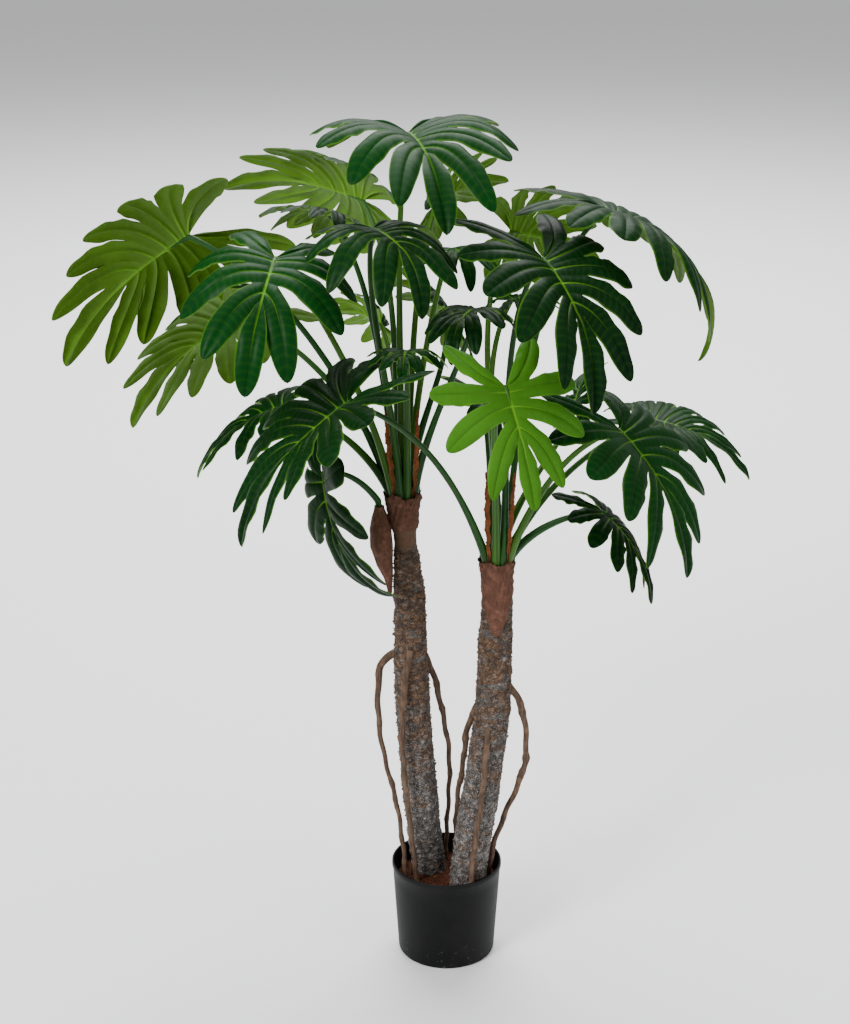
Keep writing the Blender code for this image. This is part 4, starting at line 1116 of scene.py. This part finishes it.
class SELLOUM_OT_roots(bpy.types.Operator):
    """Build the knotted aerial roots"""
    bl_idname = "selloum.roots"
    bl_label = "Aerial Roots"

    def execute(self, context):
        finish = root_finish("root_skin_fine", context.scene.selloum_trunks.root)
        tree = bar_tree()
        for number, (name, (path, radii)) in enumerate(ROOTS.items()):
            dice = random.Random(60 + number)
            points, widths = smooth_path(path, radii, ROOT_STEP)
            knots = np.ones(len(points))
            for _ in range(max(len(points) // 14, 3)):
                middle = dice.uniform(4, len(points) - 4)
                spread = dice.uniform(1.2, 2.6)
                knots += dice.uniform(0.10, 0.34) * np.exp(-((np.arange(len(points)) - middle) / spread) ** 2)
            drift = np.array([(math.sin(0.33 * k + number), math.cos(0.27 * k + number), 0.0)
                              for k in range(len(points))])
            fade = np.minimum(np.arange(len(points)) / 8.0, 1.0)[:, None]
            points = points + 0.0009 * drift * fade
            piece = grow(path_object(name + "_fine", points, widths * knots * 0.94), tree,
                         sides=ROOT_SIDES, grain=0.0012, material=finish)
            hand_over(piece, "root_skin", name)
        return {"FINISHED"}


def trunk_at(name, height):
    """Centre and radius of a trunk at a height."""
    rows = np.array(TRUNKS[name])
    return tuple(np.interp(height, rows[:, 2], rows[:, k]) for k in (0, 1, 3))


def build_sleeve(name, finish):
    """A creased fibrous sleeve with a ragged rim."""
    trunk, low, point, high, flare, seed = WRAPS[name]
    dice = random.Random(seed)
    columns, rows = 110, 26
    rag = [dice.uniform(-1.0, 1.0) for _ in range(columns)]
    tooth = [0.5 * (rag[k] + rag[k - 1]) * 0.0035 + 0.003 * math.sin(5.0 * k * 2 * math.pi / columns + seed)
             for k in range(columns)]
    points = []
    for row in range(rows + 1):
        share = row / rows
        for column in range(columns):
            turn = 2 * math.pi * column / columns
            bottom = low - point * max(math.cos(turn - POINT_FACES), 0.0) ** 3
            height = bottom + (high + tooth[column] - bottom) * share
            x, y, radius = trunk_at(trunk, min(height, TRUNKS[trunk][-1][2]))
            crease = (math.sin(9.0 * turn + 24.0 * share + seed) * 0.0007
                      + math.sin(17.0 * turn - 13.0 * share + 2.0 * seed) * 0.0005
                      + math.sin(31.0 * turn + 5.0 * share) * 0.0003)
            reach = radius + 0.0012 + flare * max(share - 0.45, 0.0) ** 1.5 + crease * (0.4 + share)
            points.append((x + reach * math.cos(turn), y + reach * math.sin(turn), height))
    piece = mesh_object(name + "_fine", points, ring_faces(rows, columns), (finish,))
    return thicken(piece, WRAP_SHEET, -1.0)


def build_pouch(finish):
    """The creased pouch at the left trunk's side, through its rows."""
    rows = np.array(POUCH_ROWS)
    columns, count = 48, 60
    points = []
    for height in np.linspace(rows[0, 2], rows[-1, 2] + 0.004, count):
        x, y, radius = (np.interp(height, rows[:, 2], rows[:, k]) for k in (0, 1, 3))
        for k in range(columns):
            turn = 2 * math.pi * k / columns
            crease = (math.sin(7 * turn + 60 * height) + 0.6 * math.sin(13 * turn - 90 * height)) * 0.0005
            reach = radius + crease
            points.append((x + reach * math.cos(turn), y + 1.15 * reach * math.sin(turn), height))
    return mesh_object("pouch_left_fine", points, ring_faces(count - 1, columns, True), (finish,))


class SELLOUM_OT_wraps(bpy.types.Operator):
    """Build the fibrous collar, wrap and side pouch"""
    bl_idname = "selloum.wraps"
    bl_label = "Fibrous Wraps"

    def execute(self, context):
        settings = context.scene.selloum_trunks
        finish = fibre_finish("wrap_fibre", settings.wrap, 0.45)
        threads = scatter_tree()
        for name, (_, _, _, high, _, seed) in WRAPS.items():
            sleeve = build_sleeve(name, finish)
            hairs = scattered(sleeve, threads, seed=seed, lowest=high - 0.012, material=finish, **THREADS)
            hand_over(smooth(join([sleeve, hairs], name + "_fine")), "fibre_wrap", name)
        hand_over(smooth(build_pouch(finish)), "fibre_wrap", "pouch_left")
        return {"FINISHED"}


class SELLOUM_OT_sheaths(bpy.types.Operator):
    """Build the papery strips between the stalks"""
    bl_idname = "selloum.sheaths"
    bl_label = "Papery Strips"

    def execute(self, context):
        finish = fibre_finish("papery_strip", context.scene.selloum_trunks.papery, 0.35, 1.3, 0.9)
        columns = 9
        for number, (name, path, facing) in enumerate(SHEATHS):
            dice = random.Random(80 + number)
            points, widths = smooth_path(path, SHEATH_WIDTHS, STRIP_STEP)
            face = unit(np.array(facing))
            grid = []
            for k, point in enumerate(points):
                ahead = unit(points[min(k + 1, len(points) - 1)] - points[max(k - 1, 0)])
                across = unit(np.cross(ahead, face))
                out = unit(np.cross(across, ahead))
                half = 0.62 * widths[k] * dice.uniform(0.75, 1.15)
                sway = 0.0008 * math.sin(0.5 * k + number) + dice.uniform(-0.0004, 0.0004)
                for share in np.linspace(-1.0, 1.0, columns):
                    curl = 0.0022 * (share ** 2 - 0.4) + 0.0005 * math.sin(9.0 * share + 0.8 * k)
                    grid.append(point + across * (half * share + sway) + out * curl)
            faces = [(r * columns + c, r * columns + c + 1, (r + 1) * columns + c + 1, (r + 1) * columns + c)
                     for r in range(len(points) - 1) for c in range(columns - 1)]
            piece = mesh_object(name + "_fine", grid, faces, (finish,))
            mark(piece, "along", np.repeat(np.arange(len(points)) * STRIP_STEP, columns))
            hand_over(smooth(tidy(thicken(piece, STRIP_SHEET, 0.0))), "papery_sheath", name)
        return {"FINISHED"}


class SELLOUM_OT_pot(bpy.types.Operator):
    """Build the nursery pot from its profile"""
    bl_idname = "selloum.pot"
    bl_label = "Pot"

    def execute(self, context):
        settings = context.scene.selloum_pot
        rim, base, wall, height = settings.rim, settings.base, settings.wall, settings.height
        profile = [(0.0, 0.003), (base - wall - 0.003, 0.003), (base - wall, 0.006)]
        profile += [(base - wall + (rim - POT_BAND - base) * share, 0.006 + (height - 0.008) * share)
                    for share in (0.25, 0.5, 0.75, 0.98)]
        profile += [(rim - 0.0026, height - 0.0004), (rim - 0.0018, height), (rim - 0.0008, height),
                    (rim - 0.0002, height - 0.0006), (rim, height - 0.0020), (rim, height - 0.0068),
                    (rim - 0.0004, height - 0.0080), (rim - 0.0013, height - 0.0090)]
        profile += [(base + (rim - POT_BAND - base) * share, 0.005 + (height - 0.016) * share)
                    for share in (0.9, 0.7, 0.5, 0.3, 0.1)]
        profile += [(base, 0.0050), (base - 0.0005, 0.0030), (base - 0.0016, 0.0012), (base - 0.0034, 0.0002),
                    (base - 0.0048, 0.0), (base - 0.010, 0.0), (base - 0.011, 0.0006), (base - 0.020, 0.0008),
                    (0.0, 0.0008)]
        edges = [(k, k + 1) for k in range(len(profile) - 1)]
        mesh = bpy.data.meshes.new("pot_fine")
        mesh.from_pydata([(x, 0.0, z) for x, z in profile], edges, [])
        piece = placed("pot_fine", mesh)
        turn = piece.modifiers.new("turn", "SCREW")
        turn.axis = "Z"
        turn.steps = 128
        turn.render_steps = 128
        turn.use_merge_vertices = True
        turn.merge_threshold = 0.00005
        apply_modifiers(piece)
        piece.data.materials.append(plastic_finish("pot_plastic_fine", settings.plastic))
        hand_over(smooth(tidy(piece), 40.0), "pot_plastic", "pot")
        return {"FINISHED"}


class SELLOUM_OT_filling(bpy.types.Operator):
    """Build the potting mix with its crumbs"""
    bl_idname = "selloum.filling"
    bl_label = "Filling"

    def execute(self, context):
        settings = context.scene.selloum_pot
        finish = soil_finish("soil_crumbs", settings.soil)
        dice = random.Random(41)
        columns = 96
        low = settings.base - settings.wall - 0.0004
        slope = (settings.rim - POT_BAND - settings.base) / (settings.height - 0.006)
        wide = low + slope * (settings.soil_top - 0.006) - 0.0002
        rings = [(low * 0.5, 0.0034), (low, 0.0070), (wide, settings.soil_top - 0.0030)]
        rings += [(wide * share, settings.soil_top + bump) for share, bump in (
            (0.985, -0.0012), (0.95, -0.0002), (0.88, 0.0), (0.78, 0.0006), (0.66, 0.0), (0.52, 0.0008),
            (0.38, 0.0003), (0.24, 0.0009), (0.10, 0.0004))]
        points = []
        for number, (radius, height) in enumerate(rings):
            for k in range(columns):
                turn = 2 * math.pi * k / columns
                rough = dice.uniform(-0.0006, 0.0006) if number > 3 else 0.0
                points.append((radius * math.cos(turn), radius * math.sin(turn), height + rough))
        ground = mesh_object("soil_fine", points, ring_faces(len(rings) - 1, columns, True), (finish,))
        crumbs = scattered(ground, scatter_tree(), density=settings.crumbs,
                           lowest=settings.soil_top - 0.0020, material=finish, **CRUMBS)
        hand_over(smooth(join([ground, crumbs], "soil_fine")), "soil_mix", "soil")
        return {"FINISHED"}


class SELLOUM_OT_stage(bpy.types.Operator):
    """Build the camera, the floor and the studio light"""
    bl_idname = "selloum.stage"
    bl_label = "Stage"

    def execute(self, context):
        settings = context.scene.selloum_stage
        finish = Finish("studio_floor", {"Base Color": (*settings.floor, 1.0), "Roughness": 0.75})
        corners = [(x * FLOOR_REACH, y * FLOOR_REACH, 0.0) for x, y in ((-1, -1), (1, -1), (1, 1), (-1, 1))]
        floor = mesh_object("studio_floor", corners, [(0, 1, 2, 3)], (finish.material,))

        camera = placed("camera", bpy.data.cameras.new("camera"))
        camera.data.lens = settings.lens
        camera.data.sensor_width = 36.0
        camera.location = CAMERA_PLACE
        camera.rotation_euler = (math.radians(90.0) - settings.pitch, 0.0, settings.turn)
        context.scene.camera = camera

        for name, place, target, size, power in LIGHTS:
            lamp = bpy.data.lights.new(name, "AREA")
            lamp.shape = "DISK"
            lamp.size = size
            lamp.energy = power
            light = placed(name, lamp)
            light.location = place
            away = Vector(place) - Vector(target)
            light.rotation_euler = away.to_track_quat("Z", "Y").to_euler()
        world = bpy.data.worlds.new("studio")
        world.use_nodes = True
        sky = world.node_tree.nodes["Background"]
        sky.inputs["Color"].default_value = SKY
        sky.inputs["Strength"].default_value = SKY_STRENGTH
        context.scene.world = world
        return {"FINISHED"}


class SELLOUM_PT_panel(bpy.types.Panel):
    """Sizes, colours and build steps of the plant"""
    bl_idname = "SELLOUM_PT_panel"
    bl_label = "Potted Selloum"
    bl_space_type = "VIEW_3D"
    bl_region_type = "UI"
    bl_category = "Selloum"

    def draw(self, context):
        for group in ("selloum_leaves", "selloum_trunks", "selloum_pot", "selloum_stage"):
            box = self.layout.box()
            settings = getattr(context.scene, group)
            for key in settings.__annotations__:
                box.prop(settings, key)
        for step in STEPS:
            self.layout.operator(step.bl_idname)


STEPS = (SELLOUM_OT_stage, SELLOUM_OT_pot, SELLOUM_OT_filling, SELLOUM_OT_trunks, SELLOUM_OT_roots,
         SELLOUM_OT_wraps, SELLOUM_OT_sheaths, SELLOUM_OT_leaves)
GROUPS = {"selloum_leaves": LeafSettings, "selloum_trunks": TrunkSettings, "selloum_pot": PotSettings,
          "selloum_stage": StageSettings}


def register():
    for group in GROUPS.values():
        bpy.utils.register_class(group)
    for step in STEPS + (SELLOUM_PT_panel,):
        bpy.utils.register_class(step)
    for name, group in GROUPS.items():
        setattr(bpy.types.Scene, name, bpy.props.PointerProperty(type=group))


def unregister():
    for name in GROUPS:
        delattr(bpy.types.Scene, name)
    for step in (SELLOUM_PT_panel,) + STEPS[::-1]:
        bpy.utils.unregister_class(step)
    for group in GROUPS.values():
        bpy.utils.unregister_class(group)


def main():
    """Register the tools and build everything."""
    register()
    bpy.ops.selloum.stage()
    bpy.ops.selloum.pot()
    bpy.ops.selloum.filling()
    bpy.ops.selloum.trunks()
    bpy.ops.selloum.roots()
    bpy.ops.selloum.wraps()
    bpy.ops.selloum.sheaths()
    bpy.ops.selloum.leaves()


if __name__ == "__main__":
    main()
